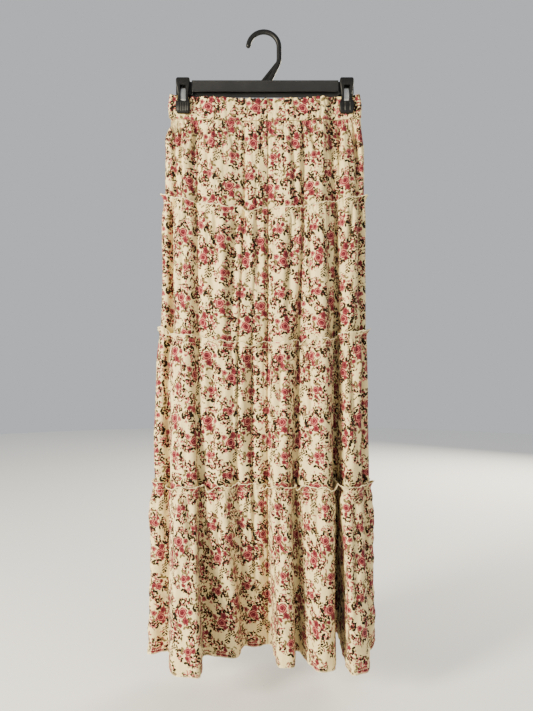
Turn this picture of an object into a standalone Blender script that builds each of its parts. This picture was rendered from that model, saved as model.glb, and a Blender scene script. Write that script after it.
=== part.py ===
"""Tiered ruffle skirt hanging by its elastic waist from a plastic clip hanger.

Metres, +Z up. The origin is the highest point inside the hanger's hook. The front of the skirt
faces -Y, and +X is on the right of someone who looks at the front.

Each cloth piece is a thin wall round a family of plan curves, one for each height. A plan curve is
a flattened oval whose folds step in and out, with its corners rounded along its length.
"""
import math
from collections import namedtuple

import bmesh
import bpy
import numpy as np
from mathutils import Vector

MM = 0.001

# ---------------------------------------------------------------- driving dimensions, millimetres

GAP = 0.3  # between neighbouring pieces
CLOTH = 1.5  # wall of a tier
CASING = 3.0  # wall of the waistband: two layers of cloth round the elastic
HEADING = 12.0  # cloth that stands above a gathering stitch
UNDERLAP = 10.0  # how far a tier reaches down inside the next one
RUFFLE = 6.0  # how far the waves of a heading stand out
GATHER = 3.0  # how far the gathers stand out at the foot of the underlap, where they are fullest
BAND_RIPPLE = 1.0  # waves that the elastic draws into its casing
HEM_LIFT = 0.10  # rise of the hem in a fold, as a share of the fold's depth
SEAM_LIFT = 20.0  # rise of the hem at the right side seam
SEAM_LIFT_REACH = 12.0

COLUMNS = 56  # columns of faces across a front or a back
COLUMNS_A_WAVE = 4
FINE = 1600  # points of a plan curve before it is cut into columns
OVAL = 2.6  # power of the flattened oval

# A section of the skirt: its level (0 the waist seam, 1 to 3 the gathering stitches, 4 the hem),
# the height at the sides, how much lower the middle hangs, the two sides, and the depth.
Section = namedtuple("Section", "level z sag left right front back")
SECTIONS = (
    Section(-1.00, -103, 11, -159, 163, 12, 12),
    Section(-0.50, -122, 10, -162, 166, 13, 13),
    Section(0.00, -142, 9, -160, 165, 13, 13),
    Section(0.12, -159, 10, -162, 166, 16, 15),
    Section(0.35, -195, 15, -167, 171, 22, 20),
    Section(1.00, -288, 27, -168, 171, 32, 28),
    Section(1.12, -315, 27, -172, 172, 37, 33),
    Section(1.60, -424, 24, -172, 173, 43, 39),
    Section(2.00, -515, 22, -175, 173, 47, 43),
    Section(2.12, -546, 19, -180, 174, 53, 48),
    Section(2.60, -670, 6, -185, 177, 58, 56),
    Section(3.00, -772, -4, -184, 178, 61, 60),
    Section(3.10, -800, -4, -191, 183, 68, 68),
    Section(3.50, -905, -2, -190, 184, 74, 73),
    Section(4.00, -1052, 0, -196, 188, 80, 78),
)

# A fold or the ridge beside it, from left to right: its place and its depth at levels 0 to 4
# (a depth below 0 stands out of the oval), half of its flat and its sideways lean at the hem.
Fold = namedtuple("Fold", "place depth half lean")
FRONT_FOLDS = (
    Fold((-152, -150, -157, -164, -170), (0, 5, 11, 13, 30), 4, 0),
    Fold((-126, -130, -131, -132, -131), (0, -1, -2, -5, -28), 25, 7),
    Fold((-113, -113, -109, -104, -94), (2, 3, 6, 10, 54), 4, 0),
    Fold((-75, -75, -72, -70, -52), (0, 0, 0, 1, 28), 8, 0),
    Fold((-30, -30, -41, -42, -27), (2, 4, 7, 15, 76), 8, 0),
    Fold((-12, -12, -18, -18, -10), (0, 0, 0, 4, 72), 4, 0),
    Fold((7, 7, 6, 6, 6), (2, 5, 10, 9, 80), 7, 0),
    Fold((40, 38, 32, 30, 38), (0, 0, 0, 0, 12), 11, 0),
    Fold((68, 66, 57, 50, 56), (2, 6, 11, 16, 55), 3, 0),
    Fold((92, 92, 94, 98, 100), (0, 0, -1, -2, -4), 13, 0),
    Fold((113, 122, 121, 119, 124), (1, 8, 22, 32, 108), 5, 0),
    Fold((146, 148, 148, 147, 153), (0, -1, -3, -5, -30), 14, 0),
    Fold((156, 161, 163, 167, 176), (0, 3, 4, 5, 8), 3, 0),
)
BACK_FOLDS = (
    Fold((-152, -152, -158, -166, -172), (0, 3, 6, 10, 30), 4, 0),
    Fold((-120, -122, -126, -132, -140), (0, -1, -2, -5, -20), 20, 0),
    Fold((-95, -96, -98, -102, -106), (2, 4, 8, 15, 48), 4, 0),
    Fold((-68, -66, -66, -68, -72), (0, 0, -1, -3, -12), 17, 0),
    Fold((-40, -36, -34, -32, -34), (2, 5, 9, 14, 45), 5, 0),
    Fold((-12, -8, -4, -2, 2), (0, -1, -2, -4, -16), 19, 0),
    Fold((22, 24, 28, 32, 38), (2, 4, 8, 13, 42), 4, 0),
    Fold((54, 54, 56, 62, 70), (0, 0, -1, -3, -14), 17, 0),
    Fold((84, 86, 90, 96, 100), (2, 4, 8, 14, 44), 4, 0),
    Fold((112, 118, 122, 128, 134), (0, 0, -2, -4, -18), 17, 0),
    Fold((150, 152, 156, 162, 168), (0, 3, 6, 9, 26), 4, 0),
)
LEVELS = (0, 1, 2, 3, 4)
SMOOTHING = (2.0, 3.5, 4.5, 4.5, 4.5)  # rounding of the fold corners at those levels

# Hanger
CLIP_PLACE = (-137.0, 141.0)  # middles of the two clips
CLIP_WIDTH = 24.5
CLIP_TOP = -76.0
CLIP_BOTTOM = -137.0
CLIP_FRONT_DEPTH = 7.5
CLIP_BACK_DEPTH = 4.0
CLIP_FACE = CASING + GAP / 2 + 0.35  # from the middle to the face of a jaw
TONGUE_BOTTOM = -103.5
PINCH_FLAT = (17.5, 24.0)  # waistband pressed flat by a clip, outwards and inwards of its middle
PINCH_FALL = (3.0, 12.0)  # outer and inner run back to the oval
PINCH_FADE = (0.05, 0.5)  # levels between which the pinch dies out
# Right side of a front jaw: how far inside its full width, and the height below its top.
JAW_SIDE = (
    ((4.0, 0.0), (1.2, 1.4), (0.4, 4.5), (0.8, 14))
    + ((3.2, 29), (3.0, 36), (0.0, 41.5), (0.0, 56), (3.0, 61))
)
SLOT_HALF, SLOT_TOP, SLOT_BOTTOM = 5.4, -90.0, -117.5  # opening of a front jaw for its spring
GROOVES = (-4.2, 4.2)  # places of the two grooves in a jaw's pad
GROOVE_HALF, GROOVE_LOW, GROOVE_HIGH, GROOVE_DEEP = 0.8, 2.5, 17.0, 1.0
SPRING_HALF = 4.4
SPRING_SIDE = ((1.0, -93), (2.2, -99), (2.2, -106), (1.0, -115.5))  # outer face: stand and height
SPRING_THICK = 1.0

HOOK_INNER = 22.0
ROD = 8.5
ROD_SIDES = 12
LEG_BOTTOM = -49.0
LEG_FOOT, RIB_FOOT = 9.5, -2.5  # where the leg and the inner rib of the gusset meet the bar
RIB_SHARE = 0.62  # thickness of the inner rib beside the rod
WEB = 3.2  # thickness of the gusset's web
BAR_LEFT, BAR_RIGHT = -122.0, 127.0
BAR_TOP, BAR_FRONT_BOTTOM, BAR_BACK_BOTTOM = -81.0, -100.0, -106.0
BAR_FRONT, BAR_BACK, BAR_WALL = -7.0, 6.0, 2.5
BAR_EDGE = 0.7  # softening of the bar's edges
CLIP_EDGE = 0.6
TOOL_REACH = 20.0  # how far a cutting tool runs past what it cuts

FRONT, BACK = -1, 1
SIDES = {"front": FRONT, "back": BACK}
FOLDS = {FRONT: FRONT_FOLDS, BACK: BACK_FOLDS}


# ---------------------------------------------------------------- scene and materials


def clear_scene():
    for scene_object in list(bpy.data.objects):
        bpy.data.objects.remove(scene_object)


def material(name, colour, roughness, metallic=0.0):
    result = bpy.data.materials.new(name)
    result.use_nodes = True
    shader = result.node_tree.nodes["Principled BSDF"]
    shader.inputs["Base Color"].default_value = (*colour, 1.0)
    shader.inputs["Roughness"].default_value = roughness
    shader.inputs["Metallic"].default_value = metallic
    return result


def add_object(name, mesh, surface, parent):
    mesh.materials.append(surface)
    result = bpy.data.objects.new(name, mesh)
    bpy.context.collection.objects.link(result)
    result.parent = parent
    return result


# ---------------------------------------------------------------- plan curves


def section_at(level):
    """The section at a level, between the rows of the table."""
    table = np.array(SECTIONS, dtype=float)
    return Section(*(np.interp(level, table[:, 0], column) for column in table.T))


def level_at(z):
    """The level whose height at the sides is z."""
    table = np.array(SECTIONS, dtype=float)
    return float(np.interp(-z, -table[:, 1], table[:, 0]))


def by_level(values, level):
    return float(np.interp(level, LEVELS, values))


def pinched(x, y, side, level):
    """Draw the curve flat against the other side where the clips hold the waistband."""
    start, end = PINCH_FADE
    fade = np.clip((level - start) / (end - start), 0, 1)
    strength = 1 - fade * fade * (3 - 2 * fade)
    for place in CLIP_PLACE:
        outward = (x - place) * (1 if place > 0 else -1)
        outer, inner = PINCH_FLAT
        corners = (-inner - PINCH_FALL[1], -inner, outer, outer + PINCH_FALL[0])
        hold = strength * np.interp(outward, corners, (0, 1, 1, 0))
        y = y + hold * (side * CASING / 2 - y)
    return y


def rounded(points, reach):
    """Average a curve of even steps with a bell of that reach, its two ends kept in place."""
    step = np.linalg.norm(np.diff(points, axis=0), axis=1).mean()
    count = max(int(3 * reach / step), 1)
    offsets = np.arange(-count, count + 1) * step
    bell = np.exp(-0.5 * (offsets / reach) ** 2)
    bell /= bell.sum()
    before = 2 * points[0] - points[count:0:-1]
    after = 2 * points[-1] - points[-2 : -count - 2 : -1]
    padded = np.concatenate([before, points, after])
    return np.stack([np.convolve(axis, bell, mode="valid") for axis in padded.T], axis=1)


def lengths_along(points):
    steps = np.linalg.norm(np.diff(points, axis=0), axis=1)
    return np.concatenate([[0.0], np.cumsum(steps)])


def plan_curve(side, level):
    """Points from the left seam to the right one, fold depths there, and where the corners lie."""
    cut = section_at(level)
    folds = FOLDS[side]
    middle, half = (cut.left + cut.right) / 2, (cut.right - cut.left) / 2
    turn = np.linspace(0, math.pi, FINE)
    reach = np.cos(turn)
    x = middle - half * np.sign(reach) * np.abs(reach) ** (2 / OVAL)
    y = side * (cut.front if side == FRONT else cut.back) * np.sin(turn) ** (2 / OVAL)

    growth = 0.35 + 0.65 * (max(level, 0) / 4) ** 2
    place = np.array([by_level(fold.place, level) for fold in folds])
    flat = np.array([growth * fold.half for fold in folds])
    corners = np.stack([place - flat, place + flat], axis=1).ravel()
    corners = np.concatenate([[cut.left], corners, [cut.right]])
    depths = np.repeat([by_level(fold.depth, level) for fold in folds], 2)
    leans = np.repeat([max(level - 3, 0) * fold.lean for fold in folds], 2)
    depth = np.interp(x, corners, np.concatenate([[0], depths, [0]]))
    lean = np.interp(x, corners, np.concatenate([[0], leans, [0]]))

    y = pinched(x, y - side * depth, side, level) + side * GAP / 2
    points = np.stack([x + lean, y], axis=1)
    length = lengths_along(points)
    marks = np.interp(corners, x, length)
    even = np.linspace(0, length[-1], FINE)
    points = np.stack([np.interp(even, length, axis) for axis in points.T], axis=1)
    depth = np.interp(even, length, depth)
    return rounded(points, by_level(SMOOTHING, level)), depth, marks / length[-1]


def column_marks(side):
    """Column number at each fold corner, so that a column follows its fold down to the hem."""
    lengths = sum(np.diff(plan_curve(side, level)[2]) for level in LEVELS[1:])
    counts = np.ones(len(lengths), dtype=int)
    while counts.sum() < COLUMNS:
        counts[np.argmax(lengths / counts)] += 1
    return np.concatenate([[0], np.cumsum(counts)])


# One row of a wall: the height at the sides, how far it stands out of the plan curve at each
# column, and how much each column is raised.
Row = namedtuple("Row", "z out rise")


def row_points(side, row):
    """Place and outward direction of the columns of a row, in the middle of the wall."""
    level = level_at(row.z)
    cut = section_at(level)
    points, depth, marks = plan_curve(side, level)
    columns = np.interp(np.arange(COLUMNS + 1), column_marks(side), marks) * (FINE - 1)
    index = np.arange(FINE)
    tangent = np.gradient(points, axis=0)
    x, y, along_x, along_y, fold = (
        np.interp(columns, index, values) for values in (*points.T, *tangent.T, depth)
    )
    size = np.hypot(along_x, along_y)
    out_x, out_y = -side * along_y / size, side * along_x / size
    out_x[[0, -1]], out_y[[0, -1]] = (-1, 1), 0
    middle, half = (cut.left + cut.right) / 2, (cut.right - cut.left) / 2
    drop = cut.sag * (1 - ((x - middle) / half) ** 2)
    near_seam = np.exp(-(((cut.right - x) / SEAM_LIFT_REACH) ** 2))
    lift = (HEM_LIFT * np.clip(fold, 0, None) + SEAM_LIFT * near_seam) * max(level - 3, 0) ** 2
    z = np.full(COLUMNS + 1, row.z) - drop + lift + row.rise
    return np.stack([x, y, z], axis=1), np.stack([out_x, out_y, np.zeros_like(x)], axis=1)


def wall(name, side, rows, thickness, surface, parent):
    """A closed wall through the rows, top row first, with both faces cut along the same diagonals."""
    middles, outwards = zip(*(row_points(side, row) for row in rows))
    out = np.array([row.out for row in rows])[:, :, None]
    middles, outwards = np.array(middles), np.array(outwards)
    outer = middles + outwards * (out + thickness / 2)
    inner = middles + outwards * (out - thickness / 2)
    vertices = np.concatenate([outer.reshape(-1, 3), inner.reshape(-1, 3)]) * MM

    row_count, column_count = len(rows), COLUMNS + 1
    outside = np.arange(row_count * column_count).reshape(row_count, column_count)
    inside = outside + outside.size
    loop = [outside[0], outside[:, -1], outside[-1, ::-1], outside[::-1, 0]]
    faces = two_triangles(outside[:-1, :-1], outside[1:, :-1], outside[1:, 1:], outside[:-1, 1:])
    faces += two_triangles(inside[:-1, :-1], inside[:-1, 1:], inside[1:, 1:], inside[1:, :-1])
    for edge in loop:
        faces += two_triangles(edge[:-1], edge[1:], edge[1:] + outside.size, edge[:-1] + outside.size)
    if side == BACK:
        faces = [face[::-1] for face in faces]
    mesh = bpy.data.meshes.new(name)
    mesh.from_pydata(vertices.tolist(), [], faces)
    mesh.update()
    mesh.shade_smooth()
    mesh.set_sharp_from_angle(angle=math.radians(60))
    return add_object(name, mesh, surface, parent)


def two_triangles(first, second, third, fourth):
    """Each four-sided face cut from its first corner to its third."""
    corners = [np.ravel(corner) for corner in (first, second, third, fourth)]
    one = np.stack([corners[0], corners[1], corners[2]], axis=1)
    other = np.stack([corners[0], corners[2], corners[3]], axis=1)
    return np.concatenate([one, other]).tolist()


# ---------------------------------------------------------------- cloth pieces


def wave(seed):
    """Uneven waves from 0 to 1 across a panel, one for every few columns, none at its ends."""
    column = np.arange(COLUMNS + 1)
    crest = 0.5 - 0.5 * np.cos(2 * math.pi * column / COLUMNS_A_WAVE)
    number = column // COLUMNS_A_WAVE
    return crest * (0.65 + 0.35 * np.sin(2.4 * number + seed))


def plain_row(z, out=0.0):
    level_line = np.zeros(COLUMNS + 1)
    return Row(z, level_line + out, level_line)


def waistband(name, side, surface, parent):
    top, middle, bottom = SECTIONS[0].z, SECTIONS[1].z, SECTIONS[2].z
    ripple = BAND_RIPPLE * wave(side)
    clear = clear_of_clips(side)
    rows = (
        Row(top, ripple * clear, 0.8 * ripple),
        Row(middle, 0.5 * ripple * clear, 0 * ripple),
        Row(bottom + GAP, 0.8 * ripple * clear, 0 * ripple),
    )
    return wall(name, side, rows, CASING, surface, parent)


def clear_of_clips(side):
    """1 between the clips and 0 where they hold the cloth flat."""
    x = row_points(side, plain_row(SECTIONS[1].z))[0][:, 0]
    flat, fall = PINCH_FLAT[1], PINCH_FALL[1]
    left, right = CLIP_PLACE[0] + flat, CLIP_PLACE[1] - flat
    return np.interp(x, (left, left + fall, right - fall, right), (0, 1, 1, 0))


def first_tier(name, side, surface, parent):
    top, stitch = SECTIONS[2].z, stitch_height(1)
    height = top - stitch
    gathers = GATHER * 0.5 * wave(side) * clear_of_clips(side)
    rows = (
        plain_row(top),
        Row(top - 0.15 * height, gathers, 0 * gathers),
        plain_row(top - 0.51 * height),
        plain_row(stitch + HEADING),
        plain_row(stitch),
        plain_row(stitch - UNDERLAP),
    )
    return wall(name, side, rows, CLOTH, surface, parent)


def gathered_tier(name, side, number, surface, parent):
    """Tier 2, 3 or 4: a waved heading lapped over the tier above, then the gathers and the fall."""
    top, bottom = stitch_height(number - 1), stitch_height(number)
    lap = CLOTH + GAP
    ruffle = wave(1.7 * number + side)
    height = top - bottom
    rows = [
        Row(top + HEADING, lap + RUFFLE * ruffle, 2.0 * ruffle),
        plain_row(top, lap),
        Row(top - UNDERLAP, lap + GATHER * ruffle, 0 * ruffle),
        Row(top - 0.22 * height, 0.6 * lap + 0.5 * GATHER * ruffle, 0 * ruffle),
        plain_row(top - 0.55 * height),
    ]
    if number < 4:
        rows += [plain_row(bottom + HEADING), plain_row(bottom), plain_row(bottom - UNDERLAP)]
    else:
        rows += [plain_row(top - 0.8 * height), plain_row(bottom)]
    return wall(name, side, rows, CLOTH, surface, parent)


def stitch_height(level):
    return float(section_at(level).z)


def skirt(parent):
    band_cloth = material("waistband cloth", (0.66, 0.52, 0.42), 0.9)
    tier_cloth = material("tier cloth", (0.64, 0.50, 0.41), 0.9)
    for word, side in SIDES.items():
        waistband(f"waistband_{word}", side, band_cloth, parent)
        first_tier(f"tier1_{word}", side, tier_cloth, parent)
        for number in (2, 3, 4):
            gathered_tier(f"tier{number}_{word}", side, number, tier_cloth, parent)


# ---------------------------------------------------------------- hanger


def prism(name, outline, start, end, plane):
    """A flat outline in the XZ or YZ plane, pushed along the axis that is left."""
    place = {"XZ": lambda a, b, along: (a, along, b), "YZ": lambda a, b, along: (along, a, b)}[plane]
    shape = bmesh.new()
    near = [shape.verts.new(Vector(place(a, b, start)) * MM) for a, b in outline]
    far = [shape.verts.new(Vector(place(a, b, end)) * MM) for a, b in outline]
    shape.faces.new(near)
    shape.faces.new(far[::-1])
    for index, corner in enumerate(near):
        following = (index + 1) % len(near)
        shape.faces.new((corner, far[index], far[following], near[following]))
    bmesh.ops.recalc_face_normals(shape, faces=shape.faces)
    mesh = bpy.data.meshes.new(name)
    shape.to_mesh(mesh)
    shape.free()
    return mesh


def rectangle(left, right, bottom, top):
    return [(left, bottom), (right, bottom), (right, top), (left, top)]


def tube(name, path, diameter, surface, parent):
    """A round rod along a path in the XZ plane, its ends closed with a smaller ring and a cap."""
    path = np.array(path, dtype=float)
    tangent = np.gradient(path, axis=0)
    tangent /= np.linalg.norm(tangent, axis=1)[:, None]
    radius = np.full(len(path), diameter / 2)
    round_off = 0.3 * diameter
    path = np.concatenate([[path[0] - tangent[0] * round_off], path, [path[-1] + tangent[-1] * round_off]])
    tangent = np.concatenate([tangent[:1], tangent, tangent[-1:]])
    radius = np.concatenate([[0.62 * radius[0]], radius, [0.62 * radius[-1]]])
    angle = 2 * math.pi * np.arange(ROD_SIDES) / ROD_SIDES
    across = radius[:, None] * np.cos(angle)
    x = path[:, :1] - across * tangent[:, 1:]
    z = path[:, 1:] + across * tangent[:, :1]
    y = radius[:, None] * np.sin(angle)
    shape = bmesh.new()
    rings = [
        [shape.verts.new(Vector(point) * MM) for point in ring]
        for ring in np.stack([x, y, z], axis=2).tolist()
    ]
    for ring, following in zip(rings, rings[1:]):
        for index in range(ROD_SIDES):
            after = (index + 1) % ROD_SIDES
            shape.faces.new((ring[index], ring[after], following[after], following[index]))
    shape.faces.new(rings[0])
    shape.faces.new(rings[-1])
    bmesh.ops.recalc_face_normals(shape, faces=shape.faces)
    mesh = bpy.data.meshes.new(name)
    shape.to_mesh(mesh)
    shape.free()
    mesh.shade_smooth()
    mesh.set_sharp_from_angle(angle=math.radians(50))
    return add_object(name, mesh, surface, parent)


def hide_tool(tool):
    tool.hide_render = True
    tool.display_type = "WIRE"
    tool.hide_set(True)


def cut(target, tool, operation="DIFFERENCE"):
    step = target.modifiers.new(operation.title(), "BOOLEAN")
    step.operation = operation
    step.solver = "EXACT"
    step.object = tool
    hide_tool(tool)


def soften(target, width, angle=40):
    step = target.modifiers.new("Soft edges", "BEVEL")
    step.width = width * MM
    step.segments = 1
    step.limit_method = "ANGLE"
    step.angle_limit = math.radians(angle)


def hook(surface, parent):
    """The round hook: its open circle, the leg, and the two ribs of the gusset with a web between."""
    radius = HOOK_INNER + ROD / 2
    circle = [
        (-radius * math.cos(turn), -HOOK_INNER + radius * math.sin(turn))
        for turn in np.linspace(0, math.pi, 17)
    ]
    foot, rib_foot = (LEG_FOOT, BAR_TOP - 2), (RIB_FOOT, BAR_TOP - 2)
    bend = [(radius, LEG_BOTTOM + 6), (radius - 0.8, LEG_BOTTOM + 1), (radius - 3.2, LEG_BOTTOM - 4)]
    main = tube("hanger_hook", circle + bend + [foot], ROD, surface, parent)
    inner_rib = [(radius - 2.6, LEG_BOTTOM - 1.5), rib_foot]
    rib = tube("inner rib tool", inner_rib, ROD * RIB_SHARE, surface, parent)
    web_outline = [bend[2], (radius - 3.6, LEG_BOTTOM - 1), rib_foot, foot]
    web_mesh = prism("web tool", web_outline, -WEB / 2, WEB / 2, "XZ")
    web = add_object("web tool", web_mesh, surface, parent)
    floor_top, floor_bottom = BAR_TOP + GAP, BAR_TOP - TOOL_REACH
    floor_outline = rectangle(RIB_FOOT - TOOL_REACH, LEG_FOOT + TOOL_REACH, floor_bottom, floor_top)
    floor_mesh = prism("foot trim tool", floor_outline, -TOOL_REACH, TOOL_REACH, "XZ")
    floor = add_object("foot trim tool", floor_mesh, surface, parent)
    cut(main, rib, "UNION")
    cut(main, web, "UNION")
    cut(main, floor)


def bar(surface, parent):
    """A channel, open below, whose back wall hangs lower than its front one."""
    inner_front, inner_back = BAR_FRONT + BAR_WALL, BAR_BACK - BAR_WALL
    outline = [
        (BAR_FRONT, BAR_TOP),
        (BAR_FRONT, BAR_FRONT_BOTTOM),
        (inner_front, BAR_FRONT_BOTTOM),
        (inner_front, BAR_TOP - BAR_WALL),
        (inner_back, BAR_TOP - BAR_WALL),
        (inner_back, BAR_BACK_BOTTOM),
        (BAR_BACK, BAR_BACK_BOTTOM),
        (BAR_BACK, BAR_TOP),
    ]
    mesh = prism("hanger_bar", outline, BAR_LEFT, BAR_RIGHT, "YZ")
    soften(add_object("hanger_bar", mesh, surface, parent), BAR_EDGE)


def jaw_outline(place):
    """Front jaw seen from the front: round shoulders, a narrow neck and a wide pad."""
    right_side = [(CLIP_WIDTH / 2 - inset, CLIP_TOP - drop) for inset, drop in JAW_SIDE]
    mirrored = [(-x, z) for x, z in right_side[::-1]]
    return [(place + x, z) for x, z in (*right_side, *mirrored)]


def clip(word, place, surface, steel, parent):
    """A clip: the back jaw with its tongue to the bar, the slotted front jaw, and the spring."""
    back_jaw(f"clip_{word}_back", place, surface, parent)
    front_jaw(f"clip_{word}_front", place, surface, parent)
    lie = -CLIP_FACE - 0.1
    spring_outline = [(lie - stand, z) for stand, z in SPRING_SIDE]
    spring_outline += [(lie - stand + SPRING_THICK, z) for stand, z in SPRING_SIDE[::-1]]
    start, end = place - SPRING_HALF, place + SPRING_HALF
    spring_mesh = prism(f"clip_{word}_spring", spring_outline, start, end, "YZ")
    add_object(f"clip_{word}_spring", spring_mesh, steel, parent)


def back_jaw(name, place, surface, parent):
    """The back jaw, whose tongue reaches over the waistband to the end of the bar."""
    tongue_front, back_face, top = -CLIP_FACE + GAP, CLIP_FACE + CLIP_BACK_DEPTH, BAR_TOP - 1
    outline = [
        (tongue_front, top),
        (tongue_front, TONGUE_BOTTOM),
        (CLIP_FACE, TONGUE_BOTTOM),
        (CLIP_FACE, CLIP_BOTTOM),
        (back_face, CLIP_BOTTOM),
        (back_face, top),
    ]
    left = place - CLIP_WIDTH / 2 if place < 0 else BAR_RIGHT + GAP
    right = place + CLIP_WIDTH / 2 if place > 0 else BAR_LEFT - GAP
    mesh = prism(name, outline, left, right, "YZ")
    soften(add_object(name, mesh, surface, parent), CLIP_EDGE)


def front_jaw(name, place, surface, parent):
    """The front jaw with the slot for its spring and two grooves in its pad."""
    face = -CLIP_FACE - CLIP_FRONT_DEPTH
    jaw = add_object(name, prism(name, jaw_outline(place), face, -CLIP_FACE, "XZ"), surface, parent)
    slot_outline = rectangle(place - SLOT_HALF, place + SLOT_HALF, SLOT_BOTTOM, SLOT_TOP)
    slot_name = f"{name} slot tool"
    slot_mesh = prism(slot_name, slot_outline, -TOOL_REACH, 0, "XZ")
    cut(jaw, add_object(slot_name, slot_mesh, surface, parent))
    low, high = CLIP_BOTTOM + GROOVE_LOW, CLIP_BOTTOM + GROOVE_HIGH
    for offset in GROOVES:
        middle = place + offset
        outline = rectangle(middle - GROOVE_HALF, middle + GROOVE_HALF, low, high)
        groove_name = f"{name} groove tool {offset:+.0f}"
        mesh = prism(groove_name, outline, face - 1, face + GROOVE_DEEP, "XZ")
        cut(jaw, add_object(groove_name, mesh, surface, parent))


def hanger(parent):
    plastic = material("black plastic", (0.012, 0.012, 0.013), 0.42)
    steel = material("spring steel", (0.62, 0.62, 0.60), 0.3, 1.0)
    hook(plastic, parent)
    bar(plastic, parent)
    for word, place in zip(("left", "right"), CLIP_PLACE):
        clip(word, place, plastic, steel, parent)


def main():
    clear_scene()
    whole = bpy.data.objects.new("skirt_on_hanger", None)
    bpy.context.collection.objects.link(whole)
    skirt(whole)
    hanger(whole)


main()
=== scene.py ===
"""The looks of a tiered ruffle skirt that hangs by its elastic waist from a plastic clip hanger.

Shapes are worked out in millimetres, +Z up, with the origin at the highest point inside the hook.
Every cloth piece follows a family of plan curves, one for each height: a flattened oval whose folds
step in and out. Gathers, creases and curled headings are then added across the cloth.
"""
import math
from collections import namedtuple
from functools import lru_cache

import bmesh
import bpy
import numpy as np
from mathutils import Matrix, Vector


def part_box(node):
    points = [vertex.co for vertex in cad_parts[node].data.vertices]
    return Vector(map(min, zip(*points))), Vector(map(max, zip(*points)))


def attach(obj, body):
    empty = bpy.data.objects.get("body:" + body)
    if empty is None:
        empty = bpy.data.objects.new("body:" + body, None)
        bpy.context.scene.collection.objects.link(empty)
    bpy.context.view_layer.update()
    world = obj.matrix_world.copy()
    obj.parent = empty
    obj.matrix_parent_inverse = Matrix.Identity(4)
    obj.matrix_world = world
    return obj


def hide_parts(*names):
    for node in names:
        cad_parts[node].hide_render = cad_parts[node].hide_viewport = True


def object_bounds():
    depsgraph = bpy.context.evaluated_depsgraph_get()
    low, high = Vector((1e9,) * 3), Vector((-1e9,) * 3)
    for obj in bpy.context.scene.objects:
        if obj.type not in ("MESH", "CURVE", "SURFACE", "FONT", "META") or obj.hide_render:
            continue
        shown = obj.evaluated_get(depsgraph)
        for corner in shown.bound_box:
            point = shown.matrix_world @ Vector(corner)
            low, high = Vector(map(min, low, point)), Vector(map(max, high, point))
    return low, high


bl_info = {
    "name": "Tiered ruffle skirt",
    "version": (1, 0, 0),
    "blender": (4, 5, 0),
    "location": "3D View > Sidebar > Skirt",
    "description": "Makes a printed, gathered skirt and the clip hanger that it hangs from",
    "category": "Object",
}

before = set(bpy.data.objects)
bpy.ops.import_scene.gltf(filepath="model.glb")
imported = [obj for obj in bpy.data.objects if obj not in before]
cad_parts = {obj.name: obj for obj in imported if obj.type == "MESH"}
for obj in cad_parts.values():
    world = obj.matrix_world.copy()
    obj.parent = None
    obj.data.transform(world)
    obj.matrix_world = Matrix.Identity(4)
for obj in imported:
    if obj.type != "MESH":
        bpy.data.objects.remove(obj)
CAD_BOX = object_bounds()
MM = 0.001
FRONT, BACK = -1, 1
SIDES = {"front": FRONT, "back": BACK}
BODY = "root"


def rows_of(kind, *rows):
    """A table of named rows."""
    return tuple(kind(*row) for row in rows)


# ---------------------------------------------------------------- the hanging shape

GAP = 0.3  # between the front and the back, and between the waistband and the first tier
LAP = 1.8  # how far a tier lies in front of the one above at their seam
HEADING, HEADING_ROWS = 12.0, 11  # the ruffle above a gathering stitch: its height and grid rows
UNDERLAP = 10.0  # how far a tier goes on behind the next one
HEM, HEM_WALL = 8.0, 0.9  # height and thickness of the turned hem
HEM_ROWS = (1.0, 0.86, 0.4, 0.08, 0.0)  # where the hem's grid rows lie, in shares of its height
HEM_LIFT = 0.10  # the hem's rise in a fold, as a share of the fold's depth
SEAM_LIFT, SEAM_LIFT_REACH = 20.0, 12.0  # the hem's rise at the right seam, and how far it spreads
OVAL = 2.6  # power of the plan's oval
FINE = 2000  # points along a plan curve
FOLD_COLUMNS = 56  # columns that are shared out between the folds
SPLIT = 8  # columns of the cloth in each of those
COLUMNS = FOLD_COLUMNS * SPLIT

# level 0 is the waist seam, 1 to 3 are the gathering seams and 4 is the hem; z is at the sides
Section = namedtuple("Section", "level z sag left right front back")
SECTIONS = rows_of(
    Section,
    (-1.00, -103, 11, -159, 163, 12, 12), (-0.50, -122, 10, -162, 166, 13, 13),
    (0.00, -142, 9, -160, 165, 13, 13), (0.12, -159, 10, -162, 166, 16, 15),
    (0.35, -195, 15, -167, 171, 22, 20), (1.00, -288, 27, -168, 171, 32, 28),
    (1.12, -315, 27, -172, 172, 37, 33), (1.60, -424, 24, -172, 173, 43, 39),
    (2.00, -515, 22, -175, 173, 47, 43), (2.12, -546, 19, -180, 174, 53, 48),
    (2.60, -670, 6, -185, 177, 58, 56), (3.00, -772, -4, -184, 178, 61, 60),
    (3.10, -800, -4, -191, 183, 68, 68), (3.50, -905, -2, -190, 184, 74, 73),
    (4.00, -1052, 0, -196, 188, 80, 78),
)
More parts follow.
